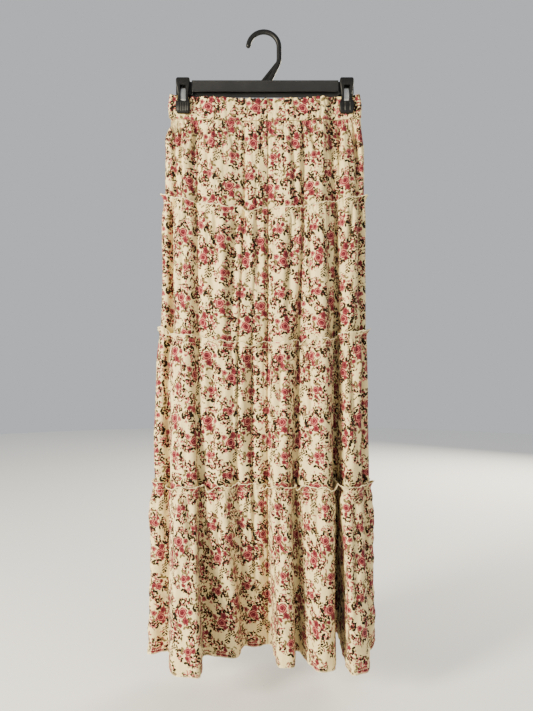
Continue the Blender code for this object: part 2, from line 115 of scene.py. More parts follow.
# from left to right: place and depth at levels 0 to 4, half of the flat, sideways lean at the hem
Fold = namedtuple("Fold", "place depth half lean")
FRONT_FOLDS = rows_of(
    Fold,
    ((-152, -150, -156, -160, -164), (0, 5, 12, 17, 36), 6, 0),
    ((-126, -130, -130, -129, -128), (0, -1, -2, -5, -28), 22, 7),
    ((-113, -113, -109, -103, -92), (2, 3, 6, 11, 42), 8, 0),
    ((-75, -75, -72, -70, -52), (0, 0, 0, 2, 40), 8, 0),
    ((-30, -30, -41, -42, -27), (2, 4, 5, 9, 76), 8, 0),
    ((-12, -12, -18, -18, -10), (0, 0, 5, 14, 72), 4, 0),
    ((7, 7, 6, 6, 6), (2, 5, 12, 19, 80), 7, 0),
    ((40, 38, 32, 30, 38), (0, 0, 0, 0, 12), 11, 0),
    ((68, 66, 57, 50, 56), (2, 6, 11, 16, 55), 3, 0),
    ((92, 92, 94, 98, 100), (0, 0, -1, -2, -4), 13, 0),
    ((113, 122, 121, 119, 124), (1, 8, 22, 32, 108), 5, 0),
    ((146, 148, 148, 147, 153), (0, -1, -3, -5, -30), 14, 0),
    ((156, 161, 163, 167, 176), (0, 3, 4, 5, 8), 3, 0),
)
BACK_FOLDS = rows_of(
    Fold,
    ((-152, -152, -158, -166, -172), (0, 3, 6, 10, 30), 4, 0),
    ((-120, -122, -126, -132, -140), (0, -1, -2, -5, -20), 20, 0),
    ((-95, -96, -98, -102, -106), (2, 4, 8, 15, 48), 4, 0),
    ((-68, -66, -66, -68, -72), (0, 0, -1, -3, -12), 17, 0),
    ((-40, -36, -34, -32, -34), (2, 5, 9, 14, 45), 5, 0),
    ((-12, -8, -4, -2, 2), (0, -1, -2, -4, -16), 19, 0),
    ((22, 24, 28, 32, 38), (2, 4, 8, 13, 42), 4, 0),
    ((54, 54, 56, 62, 70), (0, 0, -1, -3, -14), 17, 0),
    ((84, 86, 90, 96, 100), (2, 4, 8, 14, 44), 4, 0),
    ((112, 118, 122, 128, 134), (0, 0, -2, -4, -18), 17, 0),
    ((150, 152, 156, 162, 168), (0, 3, 6, 9, 26), 4, 0),
)
FOLDS = {FRONT: FRONT_FOLDS, BACK: BACK_FOLDS}
LEVELS = (0, 1, 2, 3, 4)
SMOOTHING = (2.0, 3.5, 4.5, 4.5, 4.5)  # reach of the rounding of the folds' corners, by level

CLIP_PLACE = (-137.0, 141.0)  # middles of the two clips, across
CASING = 3.0  # thickness of the waistband's solid walls
# where a clip holds the waistband flat, outside and inside its middle; how far beyond, and by which
# levels, the cloth is free again
PINCH_FLAT, PINCH_FALL, PINCH_FADE = (17.5, 24.0), (3.0, 12.0), (0.05, 0.5)
CLIP_HOLD = 14  # from a clip's middle to where the flutes begin, and from there to their full height
CLIP_FACE = CASING + GAP / 2 + 0.35  # how far in front of the middle a front jaw's back lies

# Creases that were placed one by one. Start and end are levels, top and bottom the places across at
# them. Each is a trough of that depth and half width, with a ridge on its right (1) or left (-1).
Crease = namedtuple("Crease", "top bottom start end depth half ridge")
FRONT_CREASES = rows_of(
    Crease,
    (-140, -141, 0.02, 0.95, 7.2, 2.6, 1), (-118, -120, 0.02, 0.80, 4.0, 2.8, -1),
    (-91, -94, 0.05, 0.85, 4.0, 3.2, 1), (-58, -50, 0.02, 0.45, 3.2, 2.8, -1),
    (-4, 2, 0.04, 0.40, 3.2, 2.4, 1), (49, 51, 0.05, 0.95, 4.8, 3.2, 1),
    (74, 92, 0.02, 0.50, 4.8, 2.4, -1), (127, 131, 0.02, 0.95, 6.4, 2.6, 1),
    (150, 166, 0.05, 0.75, 8.0, 2.6, 1), (-166, -152, 0.06, 0.42, 7.0, 2.8, -1),
    (-131, -137, 1.00, 1.95, 4.8, 3.6, -1), (-92, -86, 1.00, 1.60, 4.0, 2.8, 1),
    (-154, -156, 1.00, 2.00, 9.0, 3.2, 1), (-80, -79, 1.00, 1.98, 8.0, 5.5, 1),
    (-49, -52, 1.00, 2.00, 8.4, 5.0, 1), (-12, -7, 1.05, 1.75, 4.0, 3.2, -1),
    (45, 43, 1.00, 1.98, 8.4, 5.0, 1), (78, 82, 1.02, 1.85, 4.8, 3.2, -1),
    (106, 111, 1.15, 2.10, 6.0, 2.8, 1), (146, 139, 1.00, 1.65, 4.8, 3.0, -1),
    (-136, -142, 2.05, 2.95, 5.2, 3.4, 1), (-160, -163, 2.00, 2.98, 9.0, 3.4, 1),
    (-82, -87, 2.00, 2.95, 8.8, 6.0, -1), (-19, -22, 2.00, 2.98, 8.0, 11.0, -1),
    (27, 24, 2.02, 2.85, 5.6, 3.6, -1), (80, 76, 2.00, 2.80, 5.6, 3.2, 1),
    (143, 151, 2.02, 2.90, 6.0, 3.4, -1), (-145, -149, 3.00, 3.92, 8.0, 3.8, 1),
    (-120, -114, 3.00, 3.50, 5.2, 3.4, -1), (-76, -70, 3.00, 3.65, 5.6, 3.6, 1),
    (26, 24, 3.00, 3.75, 6.4, 3.4, -1), (88, 82, 3.00, 3.75, 5.6, 3.8, 1),
    (144, 147, 3.00, 3.85, 6.0, 3.8, -1),
)
BACK_CREASES = rows_of(
    Crease,
    (-130, -136, 0.02, 0.90, 6.0, 3.0, 1), (-74, -80, 0.02, 0.60, 4.0, 2.8, -1),
    (-22, -18, 0.05, 0.90, 4.8, 3.2, 1), (38, 41, 0.02, 0.75, 4.4, 2.8, -1),
    (100, 104, 0.02, 0.95, 5.6, 3.2, 1), (136, 143, 0.02, 0.85, 6.0, 2.8, -1),
    (-140, -144, 1.00, 1.85, 5.2, 3.2, 1), (-82, -79, 1.00, 1.95, 6.0, 3.2, -1),
    (-52, -50, 1.05, 1.60, 4.0, 3.0, 1), (10, 13, 1.00, 1.95, 6.0, 3.4, -1),
    (72, 75, 1.00, 1.75, 4.8, 3.0, 1), (106, 110, 1.05, 2.00, 5.2, 3.2, -1),
    (140, 144, 1.00, 1.70, 5.2, 3.0, 1), (-118, -123, 2.00, 2.95, 6.0, 3.4, -1),
    (-84, -86, 2.00, 2.60, 4.4, 3.2, 1), (-18, -18, 2.05, 2.95, 5.6, 3.4, 1),
    (14, 18, 2.00, 2.70, 4.8, 3.2, -1), (78, 80, 2.00, 2.95, 6.0, 3.4, 1),
    (112, 116, 2.00, 2.75, 4.8, 3.2, -1), (-120, -125, 3.00, 3.70, 6.4, 3.8, 1),
    (-86, -90, 3.00, 3.50, 5.2, 3.4, -1), (-16, -16, 3.00, 3.60, 6.0, 3.8, 1),
    (52, 54, 3.00, 3.60, 5.6, 3.4, -1), (84, 84, 3.00, 3.50, 5.2, 3.4, 1),
    (118, 122, 3.00, 3.70, 6.0, 3.8, -1),
)
CREASES = {FRONT: FRONT_CREASES, BACK: BACK_CREASES}
CREASE_SWAY = 1.5
RIDGE_PLACE, RIDGE_WIDTH, RIDGE_SHARE = 2.2, 1.3, 0.5  # in half widths, and in depths of its crease
RIPPLE = (0.8, 2.2, 3.0, 3.0, 2.2)  # height of the soft waves, 29 mm apart, that fill the tiers
# how the main folds are drawn in with a narrow trough, and the cloth between them bulges
TROUGH_DEPTH, BULGE_SHARE = (2.0, 6.5, 8.0, 8.0, 4.0), (0.05, 0.11, 0.12, 0.12, 0.06)
TROUGH_HALF, WIDEST_BULGE = 2.6, 80.0
TROUGH_SHARE = {FRONT: (0.6, 0.0, 0.3, 0.3, 0.2, 0.5, 0.8, 0.5), BACK: (0.9, 0.5, 0.8, 1.0, 0.6, 0.9)}
# below the waist the left side is drawn in, and then puffs out: height, how far out, half height
SIDE_PINCH, SIDE_PINCH_WIDTH = ((-178.0, 3.0, 9.0), (-152.5, -5.0, 5.5)), 9.0
# spacing of the gathers below a seam, and the depth at which all but the broad ones have faded
FINE_GATHER, FINE_FADE = 6.4, 18.0
MIDDLE_GATHER, MIDDLE_FADE = 13.5, 70.0
BROAD_GATHER = 34.0
TIER_ROWS = (0, 34, 40, 42, 46)  # grid rows of each tier, without its heading and hem
TIGHTER_AT_TOP = 1.35

# Where a heading curls over or stands up, by its seam: place, half width, the turn in degrees from
# the stitch to the raw edge, and how much longer the cloth is there.
Curl = namedtuple("Curl", "place half turn longer")
FRONT_CURLS = {
    1: rows_of(
        Curl,
        (-166, 7, 40, 3), (-112, 12, 15, -2), (-86, 9, 30, 0), (-64, 7, 55, -1), (-22, 14, 165, 4),
        (8, 5, 60, 1), (40, 12, 25, 0), (66, 6, 70, 1), (105, 14, 20, 1), (140, 8, 45, 2),
        (166, 7, 35, 1),
    ),
    2: rows_of(
        Curl,
        (-168, 8, 30, 6), (-150, 6, 95, 0), (-118, 14, 20, 1), (-84, 9, 50, -1), (-56, 10, 35, -2),
        (-22, 13, 135, 1), (14, 9, 45, -1), (46, 12, 25, 1), (64, 5, 150, 2), (84, 9, 40, 1),
        (108, 8, 60, -2), (140, 12, 30, 2), (165, 7, 70, 2),
    ),
    3: rows_of(
        Curl,
        (-170, 9, 50, 4), (-146, 11, 75, -1), (-118, 12, 30, -2), (-103, 7, 85, 3), (-82, 7, 160, 2),
        (-58, 8, 70, 0), (-40, 7, 35, 3), (-12, 10, 60, 3), (12, 7, 140, 3), (40, 11, 80, 0),
        (60, 6, 150, 3), (86, 12, 45, -1), (106, 6, 110, 0), (122, 7, 40, 7), (138, 10, 70, 3),
        (166, 10, 55, 1),
    ),
}
BACK_CURLS = {
    1: rows_of(
        Curl,
        (-150, 9, 50, 2), (-118, 10, 25, 0), (-84, 8, 110, 2), (-46, 12, 30, 0), (-10, 9, 60, 1),
        (30, 10, 20, 0), (62, 8, 140, 3), (98, 10, 40, 0), (138, 10, 60, 2),
    ),
    2: rows_of(
        Curl,
        (-160, 8, 40, 3), (-128, 10, 70, 1), (-94, 9, 30, 0), (-60, 9, 150, 2), (-20, 10, 50, 0),
        (18, 8, 90, 2), (56, 11, 30, 0), (92, 8, 120, 2), (124, 9, 40, 0), (156, 8, 80, 2),
    ),
    3: rows_of(
        Curl,
        (-164, 9, 60, 3), (-130, 9, 100, 2), (-100, 8, 45, 1), (-68, 9, 140, 2), (-32, 9, 60, 0),
        (4, 9, 120, 2), (38, 9, 50, 1), (72, 9, 90, 1), (104, 8, 150, 3), (138, 9, 55, 1),
        (164, 8, 80, 2),
    ),
}
CURLS = {FRONT: FRONT_CURLS, BACK: BACK_CURLS}
LIVELY = (0, 0.8, 1.3, 1.9)  # how unevenly a heading's raw edge rises, by its seam

# The cut of each panel, in metres: width before it is gathered and length with its heading. The
# waistband's is what shows of a strip that is folded in half over the elastic.
Cut = namedtuple("Cut", "width length")
CUTS = rows_of(Cut, (0.42, 0.0425), (0.42, 0.175), (0.46, 0.25), (0.54, 0.27), (0.87, 0.29))
OVERLOCK_HALF = 0.55  # half thickness of the overlocking over a raw edge
STITCH_LONG, STITCH_GAP, THREAD_HALF = 2.6, 0.9, 0.28

# ---------------------------------------------------------------- the print

REPEAT = (80.0, 108.0)
TIER_START = ((0, 0), (11, 20), (37, 61), (5, 33), (52, 90))  # where each panel begins in the repeat
BACK_START = 31.0
EVEN_SHARE = 0.5  # of the print, how much is gathered evenly along a row
# A motif of the print: its middle, the way it points in degrees, and its half length and width.
Motif = namedtuple("Motif", "x y turn long wide")


def leaves_at(*places):
    """Pairs of leaves that part from those places, all within the same reach."""
    return rows_of(Motif, *((*place, 6, 5) for place in places))


FULL_SPRAY = {
    "pink rose": rows_of(Motif, (0, 2, 20, 8.8, 7.6), (14.5, 3, 200, 5.0, 4.4)),
    "dark rose": rows_of(Motif, (-9, 5, 80, 4.0, 3.5), (4, -10, 300, 6.0, 5.0), (-7, -17, 140, 4.0, 3.4)),
    "leaf": leaves_at(
        (-5, 10, 125), (9, 9, 50), (11, -8, -20), (-13, -3, 195), (-9, -21, 240), (20, 7, 25), (3, -18, -75)
    ),
    "buds": rows_of(
        Motif, (16, -15, -30, 16, 9), (-16, -9, 80, 14, 9), (6, 18, 10, 16, 9), (0, -6, 0, 12, 10)
    ),
    "twig": rows_of(Motif, (28, 13, 35, 8.5, 6), (-23, 17, 130, 8.5, 6)),
}
SMALL_SPRAY = {
    "pink rose": rows_of(Motif, (0, 0, 100, 7.0, 6.2)),
    "dark rose": rows_of(Motif, (8.5, -5, 10, 4.4, 3.8), (-7, -7, 250, 3.8, 3.4)),
    "leaf": leaves_at((-5, 6, 135), (6, 6, 35), (12, -9, -35), (-11, -11, 215)),
    "buds": rows_of(Motif, (1, -16, 0, 15, 10), (14, 8, 40, 13, 8), (-14, 4, 60, 11, 7)),
    "twig": rows_of(Motif, (-15, 19, 110, 8.5, 6)),
}
Spray = namedtuple("Spray", "x y turn motifs")
SPRAYS = rows_of(
    Spray,
    (18, 14, 0, FULL_SPRAY), (61, 34, 200, SMALL_SPRAY),
    (23, 67, 40, SMALL_SPRAY), (65, 91, 140, FULL_SPRAY),
)
LOBES, LOBE_HEIGHT, PETAL_TURNS = 5.0, 0.10, 2.3
TWIG_PITCH, TWIG_LEAF, TWIG_LEAF_OFF, TWIG_LEAF_TURN = 4.8, (3.2, 1.5), 2.6, -48
LEAF_HALF, LEAF_SPREAD = (3.4, 2.0), 54.0
BLADE_EDGE = (1.08, 0.88)  # where the soft edge of a leaf or bud begins and ends, in its half sizes
# Scattered buds and pairs of leaves: cell, half length and width, seed, share of cells that hold one,
# and the shares of them, one added to the other, that are crimson, rose and olive.
Scatter = namedtuple("Scatter", "cell long wide seed keep crimson rose olive")
BUDS = Scatter(3.8, 2.0, 1.5, 1, 0.92, 0.76, 0.90, 0.92)
PAIRS = Scatter(7.6, 2.6, 1.7, 2, 0.95, 0.00, 0.03, 0.08)
STRAYS = Scatter(15.0, 2.3, 1.15, 3, 0.50, 0.20, 0.30, 0.50)
EDGE_CREAM, THREAD_CREAM = (0.80, 0.69, 0.42), (0.86, 0.73, 0.42)

# ---------------------------------------------------------------- the hanger

HOOK_INSIDE = 22.0  # radius inside the hook
# Front of a jaw, from its top down: drop, half width and how far its face stands out.
Jaw = namedtuple("Jaw", "drop half stand")
JAW = rows_of(
    Jaw,
    (0.0, 8.2, 5.0), (1.4, 11.0, 6.6), (4.5, 11.8, 7.4), (10.0, 11.7, 7.5), (14.0, 11.4, 7.2),
    (22.0, 10.0, 5.6), (29.0, 9.05, 4.6), (36.0, 9.25, 4.8), (40.0, 11.2, 6.0), (43.0, 12.2, 6.9),
    (50.0, 12.2, 7.3), (56.0, 12.0, 6.6), (59.5, 10.6, 5.4), (61.0, 8.6, 4.6),
)
JAW_END, JAW_ROUNDING = 61.0, 1.9
JAW_CORE = 0.62  # share of a jaw's grid columns that the slot takes up
SLOT_HALF, SLOT_TOP, SLOT_BOTTOM = 5.4, 14.0, 41.5
SPRING_TOP, SPRING_LENGTH, SPRING_HALF, SPRING_WALL = -93.0, 22.0, 4.3, 0.7
PLASTIC_SHINE, BAR_SHINE = (0.42, 0.20), (0.34, 0.36)  # roughness and specular level
BAR_PAINTED_SHEEN = 2  # how much paler the bar's plastic is made: a painted sheen that stands in for its reflection

# ---------------------------------------------------------------- the stage, in metres

FLOOR_DROP = 0.06
FLOOR_RINGS = (0.001, 0.5, 1.5, 4.0)
SKY, SKY_STRENGTH, WARM = (0.94, 0.97, 1, 1), 0.58, (1.0, 0.91, 0.70)
LIGHT_TARGET = (0.0, 0.0, -0.5)
Light = namedtuple("Light", "name place size watts")
LIGHTS = rows_of(
    Light,
    ("key", (-1.95, -1.5, -0.15), 0.7, 196),
    ("fill", (1.3, -2.0, 0.0), 1.0, 12),
    ("back", (1.5, 2.1, 0.3), 1.4, 110),
)
CAMERA_PLACE, LENS = (0.0048, -1.1, -0.5481), 32.628


def size_property(name, description, default, least=0.0):
    """A length that a user can change, in metres."""
    return bpy.props.FloatProperty(
        name=name, description=description, default=default, min=least, unit="LENGTH"
    )


def colour_property(name, description, default):
    """A colour that a user can change."""
    return bpy.props.FloatVectorProperty(
        name=name, description=description, default=default, subtype="COLOR", size=3
    )


class SKIRT_PG_cloth(bpy.types.PropertyGroup):
    """Sizes and colours of the cloth."""

    thickness: size_property("Cloth", "Thickness of the cloth", 0.0005, 0.0002)
    casing: size_property("Casing", "Thickness of the elastic waistband", 0.0028, 0.001)
    gather: size_property("Gathers", "How far the gathers stand out at a seam", 0.0022)
    ground: colour_property("Ground", "Colour of the plain cloth", (0.70, 0.565, 0.285))
    rose: colour_property("Rose", "Colour of the rose petals", (0.41, 0.095, 0.100))
    crimson: colour_property("Crimson", "Colour of the rose hearts", (0.085, 0.007, 0.013))
    leaf: colour_property("Leaf", "Colour of the leaves", (0.010, 0.006, 0.002))
    olive: colour_property("Olive", "Colour of the pale leaves", (0.13, 0.095, 0.04))
    stem: colour_property("Stem", "Colour of the stems", (0.20, 0.075, 0.045))


class SKIRT_PG_hanger(bpy.types.PropertyGroup):
    """Sizes and colours of the hanger."""

    rod: size_property("Rod", "Thickness of the hook", 0.0085, 0.003)
    plastic: colour_property("Plastic", "Colour of the hanger", (0.006, 0.006, 0.0065))


# ---------------------------------------------------------------- curves and waves


def bell(distance):
    """exp(-d^2 / 2)."""
    return np.exp(-0.5 * np.square(distance))


def ramp(value, start, end):
    """0 before start and 1 after end, on a smooth curve between them."""
    part = np.clip((np.asarray(value, float) - start) / (end - start), 0, 1)
    return part * part * (3 - 2 * part)


def eased(at, places, values, reach):
    """The straight runs of a table, averaged over a bell of that reach so that no corner shows."""
    steps = np.linspace(-2, 2, 9)
    share = bell(steps) / bell(steps).sum()
    return float(sum(s * np.interp(at + reach * step, places, values) for s, step in zip(share, steps)))


def section_at(level):
    """The measures of the plan at any level."""
    table = np.array(SECTIONS, float)
    return Section(level, *(eased(level, table[:, 0], column, 0.03) for column in table[:, 1:].T))


def stitch_height(level):
    """Height of a seam, or of the cloth between two, at the sides."""
    return float(section_at(level).z)


@lru_cache(maxsize=None)
def level_heights():
    """Levels in steps of 0.01, and their heights at the sides."""
    levels = np.linspace(-1.0, 4.0, 501)
    return levels, np.array([section_at(level).z for level in levels])


def level_at(z):
    """The level whose sides are at that height."""
    levels, heights = level_heights()
    return float(np.interp(-z, -heights, levels))


def by_level(values, level):
    """A value at any level, from those at levels 0 to 4."""
    return eased(level, LEVELS, values, 0.07)


def uneven(position, seed):
    """A wavy line from about -1 to 1 with no repeat: three sines whose lengths share no factor."""
    position = np.asarray(position, float)
    first = np.sin(position + 1.7 * seed)
    second = np.sin(0.618 * position + 2.9 * seed + 0.8 * np.sin(0.37 * position + seed))
    third = np.sin(1.732 * position + 4.1 * seed)
    return (first + second + 0.6 * third) / 2.2


def waves(position, spacing, seed):
    """Waves from 0 to 1, about one in each spacing, with broad crests and narrow troughs, of uneven
    width and height."""
    place = position / spacing
    crest = 0.5 - 0.5 * np.cos(2 * math.pi * (place + 0.38 * uneven(1.9 * place, seed)))
    return crest**0.7 * (0.62 + 0.38 * uneven(2.3 * place, seed + 5))


def rounded(points, reach):
    """Average a curve of even steps with a bell of that reach, its two ends kept in place."""
    step = np.linalg.norm(np.diff(points, axis=0), axis=1).mean()
    count = max(int(3 * reach / step), 1)
    share = bell(np.arange(-count, count + 1) * step / reach)
    share /= share.sum()
    before = 2 * points[0] - points[count:0:-1]
    after = 2 * points[-1] - points[-2 : -count - 2 : -1]
    padded = np.concatenate([before, points, after])
    return np.stack([np.convolve(axis, share, mode="valid") for axis in padded.T], axis=1)


def lengths_along(points):
    """Length from the first point of a curve to each point."""
    steps = np.linalg.norm(np.diff(points, axis=0), axis=1)
    return np.concatenate([[0.0], np.cumsum(steps)])


def points_at(where, length, points):
    """Points of a curve at those lengths along it."""
    return np.stack([np.interp(where, length, axis) for axis in points.T], axis=-1)


def pinched(x, y, side, level):
    """Draw the curve flat against the other side where the clips hold the waistband."""
    strength = 1 - ramp(level, *PINCH_FADE)
    for place in CLIP_PLACE:
        outward = (x - place) * (1 if place > 0 else -1)
        outer, inner = PINCH_FLAT
        corners = (-inner - PINCH_FALL[1], -inner, outer, outer + PINCH_FALL[0])
        hold = strength * np.interp(outward, corners, (0, 1, 1, 0))
        y = y + hold * (side * CASING / 2 - y)
    return y


def plan_curve(side, level):
    """Points from the left seam to the right one, fold depths there, and where the corners lie.

    The oval is x = cos(t)^(2/p), y = sin(t)^(2/p). The depth of each fold is taken off y between
    its corners, and the corners are then rounded along the curve. The flat of a fold is 0.35 of its
    full width at the waist, and grows with the square of the level. Folds lean from level 3 on.
    """
    cut = section_at(level)
    folds = FOLDS[side]
    middle, half = (cut.left + cut.right) / 2, (cut.right - cut.left) / 2
    turn = np.linspace(0, math.pi, FINE)
    reach = np.cos(turn)
    x = middle - half * np.sign(reach) * np.abs(reach) ** (2 / OVAL)
    y = side * (cut.front if side == FRONT else cut.back) * np.clip(np.sin(turn), 0, 1) ** (2 / OVAL)
    growth = 0.35 + 0.65 * (max(level, 0) / 4) ** 2
    place = np.array([by_level(fold.place, level) for fold in folds])
    flat = np.array([growth * fold.half for fold in folds])
    corners = np.stack([place - flat, place + flat], axis=1).ravel()
    corners = np.concatenate([[cut.left], corners, [cut.right]])
    depths = [by_level(fold.depth, level) for fold in folds]
    leans = [max(level - 3, 0) * fold.lean for fold in folds]
    depth, lean = (np.interp(x, corners, [0, *np.repeat(values, 2), 0]) for values in (depths, leans))
    y = pinched(x, y - side * depth, side, level) + side * GAP / 2
    points = np.stack([x + lean, y], axis=1)
    length = lengths_along(points)
    marks = np.interp(corners, x, length)
    even = np.linspace(0, length[-1], FINE)
    points, depth = points_at(even, length, points), np.interp(even, length, depth)
    return rounded(points, by_level(SMOOTHING, level)), depth, marks / length[-1]


@lru_cache(maxsize=None)
def column_marks(side):
    """Column number at each fold corner, so that a column follows its fold down to the hem."""
    lengths = sum(np.diff(plan_curve(side, level)[2]) for level in LEVELS[1:])
    counts = np.ones(len(lengths), dtype=int)
    while counts.sum() < FOLD_COLUMNS:
        counts[np.argmax(lengths / counts)] += 1
    return np.concatenate([[0], np.cumsum(counts)])


def draped_row(side, z):
    """Middle of the cloth and its outward direction at every column, where the sides are at z.

    The height is z less the sag, 1 - r^2 across, and the hem rises in deep folds and at the seam.
    """
    level = level_at(z)
    cut = section_at(level)
    points, depth, marks = plan_curve(side, level)
    across = np.interp(np.linspace(0, FOLD_COLUMNS, COLUMNS + 1), column_marks(side), marks)
    columns = rounded(across[:, None], 5.0 / COLUMNS)[:, 0] * (FINE - 1)
    tangent = np.gradient(points, axis=0)
    x, y, along_x, along_y, fold = (
        np.interp(columns, np.arange(FINE), values) for values in (*points.T, *tangent.T, depth)
    )
    size = np.hypot(along_x, along_y)
    out_x, out_y = -side * along_y / size, side * along_x / size
    out_x[[0, -1]], out_y[[0, -1]] = (-1, 1), 0
    middle, half = (cut.left + cut.right) / 2, (cut.right - cut.left) / 2
    drop = cut.sag * (1 - ((x - middle) / half) ** 2)
    near_seam = bell((cut.right - x) / SEAM_LIFT_REACH * math.sqrt(2))
    lift = (HEM_LIFT * np.clip(fold, 0, None) + SEAM_LIFT * near_seam) * max(level - 3, 0) ** 2
    height = np.full(COLUMNS + 1, z) - drop + lift
    return np.stack([x, y, height], axis=1), np.stack([out_x, out_y, 0 * x], axis=1)


Drape = namedtuple("Drape", "middle outward along down")


def drape(side, heights):
    """The smooth cloth: its middle, outward directions, length along each row and length down."""
    rows = [draped_row(side, z) for z in heights]
    middle, outward = (np.array(part) for part in zip(*rows))
    along = np.array([lengths_along(row) for row in middle])
    falls = np.linalg.norm(np.diff(middle, axis=0), axis=2).mean(axis=1)
    down = np.concatenate([[0.0], np.cumsum(falls)])
    return Drape(middle, outward, along, down)


def creased(side, cloth, level):
    """Listed creases: a trough with a bell across and a lower ridge beside it. Each sways a
    little on its way down, starts soon and fades over its lower half."""
    facing = np.clip(side * cloth.outward[:, :, 1], 0, 1)
    out = np.zeros_like(facing)
    for crease in CREASES[side]:
        share = (level - crease.start) / (crease.end - crease.start)
        sway = CREASE_SWAY * np.sin(5 * share + crease.top)
        place = crease.top + (crease.bottom - crease.top) * share + sway
        fade = ramp(share, -0.02, 0.12) * (1 - ramp(share, 0.5, 1.0))
        off = (cloth.middle[:, :, 0] - place) / crease.half
        ridge = RIDGE_SHARE * bell((off - RIDGE_PLACE * crease.ridge) / RIDGE_WIDTH)
        out += crease.depth * fade * (ridge - bell(off))
    return out * facing


def bulging(side, cloth, level):
    """Between the main folds the cloth bulges as sin(pi u)^0.8, and each fold has a narrow trough."""
    middles = (column_marks(side)[1:-1] * SPLIT).reshape(-1, 2).mean(axis=1)
    troughs = middles[[fold.depth[2] > 0 for fold in FOLDS[side]]]
    stops = np.array([0, *troughs, COLUMNS])
    columns = np.arange(COLUMNS + 1)
    panel = np.clip(np.searchsorted(stops, columns, side="right") - 1, 0, len(stops) - 2)
    part = (columns - stops[panel]) / (stops[panel + 1] - stops[panel])
    stop_along = np.array([np.interp(stops, columns, row) for row in cloth.along])
    width = np.minimum(np.diff(stop_along, axis=1)[:, panel], WIDEST_BULGE)
    share = np.interp(level, LEVELS, BULGE_SHARE)
    out = share * width * (np.sin(math.pi * np.clip(part, 0, 1)) ** 0.8 - 0.5)[None, :]
    deep = np.interp(level, LEVELS, TROUGH_DEPTH)
    for number, stop in enumerate(stop_along.T[1:-1]):
        out -= TROUGH_SHARE[side][number] * deep * bell((cloth.along - stop[:, None]) / TROUGH_HALF)
    return out


def free_ends(along, reach, start=0):
    """0 at both ends of each row, and 1 from that reach inwards."""
    return np.minimum(ramp(along, start, reach), ramp(along[..., -1:] - along, start, reach))


def folded(side, cloth, heights):
    """How far all layers of cloth stand out together at every point: the bulges, the creases, and
    waves about 69 and 29 mm long that drift on their way down. It fades at the sides and the waist."""
    level = np.array([level_at(z) for z in heights])[:, None]
    place = cloth.along - cloth.along[:, -1:] / 2
    slow = 1.5 * uneven(place / 11.0 + 1.3 * uneven(heights[:, None] / 70.0, side), 2.0 + side)
    ripple = np.interp(level, LEVELS, RIPPLE)
    slow = slow + ripple * uneven(place / 4.6 + 0.8 * uneven(heights[:, None] / 40.0, 4), 7.0)
    ends, waist = free_ends(cloth.along, 18, 2), ramp(level, 0.0, 0.12)
    return (bulging(side, cloth, level) + creased(side, cloth, level) + 0.6 * slow) * ends * waist


def side_pinch(cloth, heights):
    """How far the left side stands out below the waist seam: bells down it and across it."""
    puff = sum(out * bell((heights[:, None] - z) / half) for z, out, half in SIDE_PINCH)
    return puff * bell(cloth.along / SIDE_PINCH_WIDTH)


# ---------------------------------------------------------------- meshes

DOWN_FIRST, ACROSS_FIRST = ((0, 0), (1, 0), (1, 1), (0, 1)), ((0, 0), (0, 1), (1, 1), (1, 0))


def cells(index, order):
    """The four corners of every cell of a grid of point numbers, in that order round it."""
    rows, columns = index.shape
    return np.stack([index[r : rows - 1 + r, c : columns - 1 + c].ravel() for r, c in order], axis=1)


def grid_faces(rows, columns, start=0, flip=False):
    """The faces of a grid, its points numbered row by row from start."""
    faces = cells(start + np.arange(rows * columns).reshape(rows, columns), DOWN_FIRST)
    return faces[:, ::-1] if flip else faces


def ring_faces(rings, around):
    """The faces between rings of points that close on themselves."""
    index = np.arange(rings * around).reshape(rings, around)
    return cells(np.concatenate([index, index[:, :1]], axis=1), ACROSS_FIRST)


def surface_normals(points):
    """Unit normals of a grid of points: the way down its rows crossed with the way across."""
    across, down = np.gradient(points, axis=1), np.gradient(points, axis=0)
    normal = np.cross(down, across)
    return normal / np.maximum(np.linalg.norm(normal, axis=2), 1e-9)[:, :, None]


def new_mesh(name, points, faces, uv=None, marks=(), sharp=60):
    """A mesh object from points in millimetres and four-sided faces, with its UVs and attributes."""
    mesh = bpy.data.meshes.new(name)
    mesh.vertices.add(len(points))
    mesh.vertices.foreach_set("co", np.ascontiguousarray(points * MM, np.float32).ravel())
    mesh.loops.add(faces.size)
    mesh.loops.foreach_set("vertex_index", np.ascontiguousarray(faces, np.int32).ravel())
    mesh.polygons.add(len(faces))
    mesh.polygons.foreach_set("loop_start", np.arange(0, faces.size, 4, dtype=np.int32))
    mesh.update(calc_edges=True)
    if uv is not None:
        layer = mesh.uv_layers.new(name="cloth")
        layer.uv.foreach_set("vector", np.ascontiguousarray(uv[faces.ravel()], np.float32).ravel())
    for mark, values in dict(marks).items():
        attribute = mesh.attributes.new(mark, "FLOAT", "POINT")
        attribute.data.foreach_set("value", np.ascontiguousarray(values, np.float32))
    mesh.shade_smooth()
    mesh.set_sharp_from_angle(angle=math.radians(sharp))
    result = bpy.data.objects.new(name, mesh)
    bpy.context.scene.collection.objects.link(result)
    return result


def outward_faces(piece, fill_ends=False):
    """Turn every face of a piece outwards, once its open ends are filled where it has any."""
    shape = bmesh.new()
    shape.from_mesh(piece.data)
    if fill_ends:
        open_edges = [edge for edge in shape.edges if len(edge.link_faces) == 1]
        filled = bmesh.ops.holes_fill(shape, edges=open_edges, sides=0)
        bmesh.ops.triangulate(shape, faces=filled["faces"], ngon_method="EAR_CLIP")
    bmesh.ops.recalc_face_normals(shape, faces=shape.faces)
    shape.to_mesh(piece.data)
    shape.free()


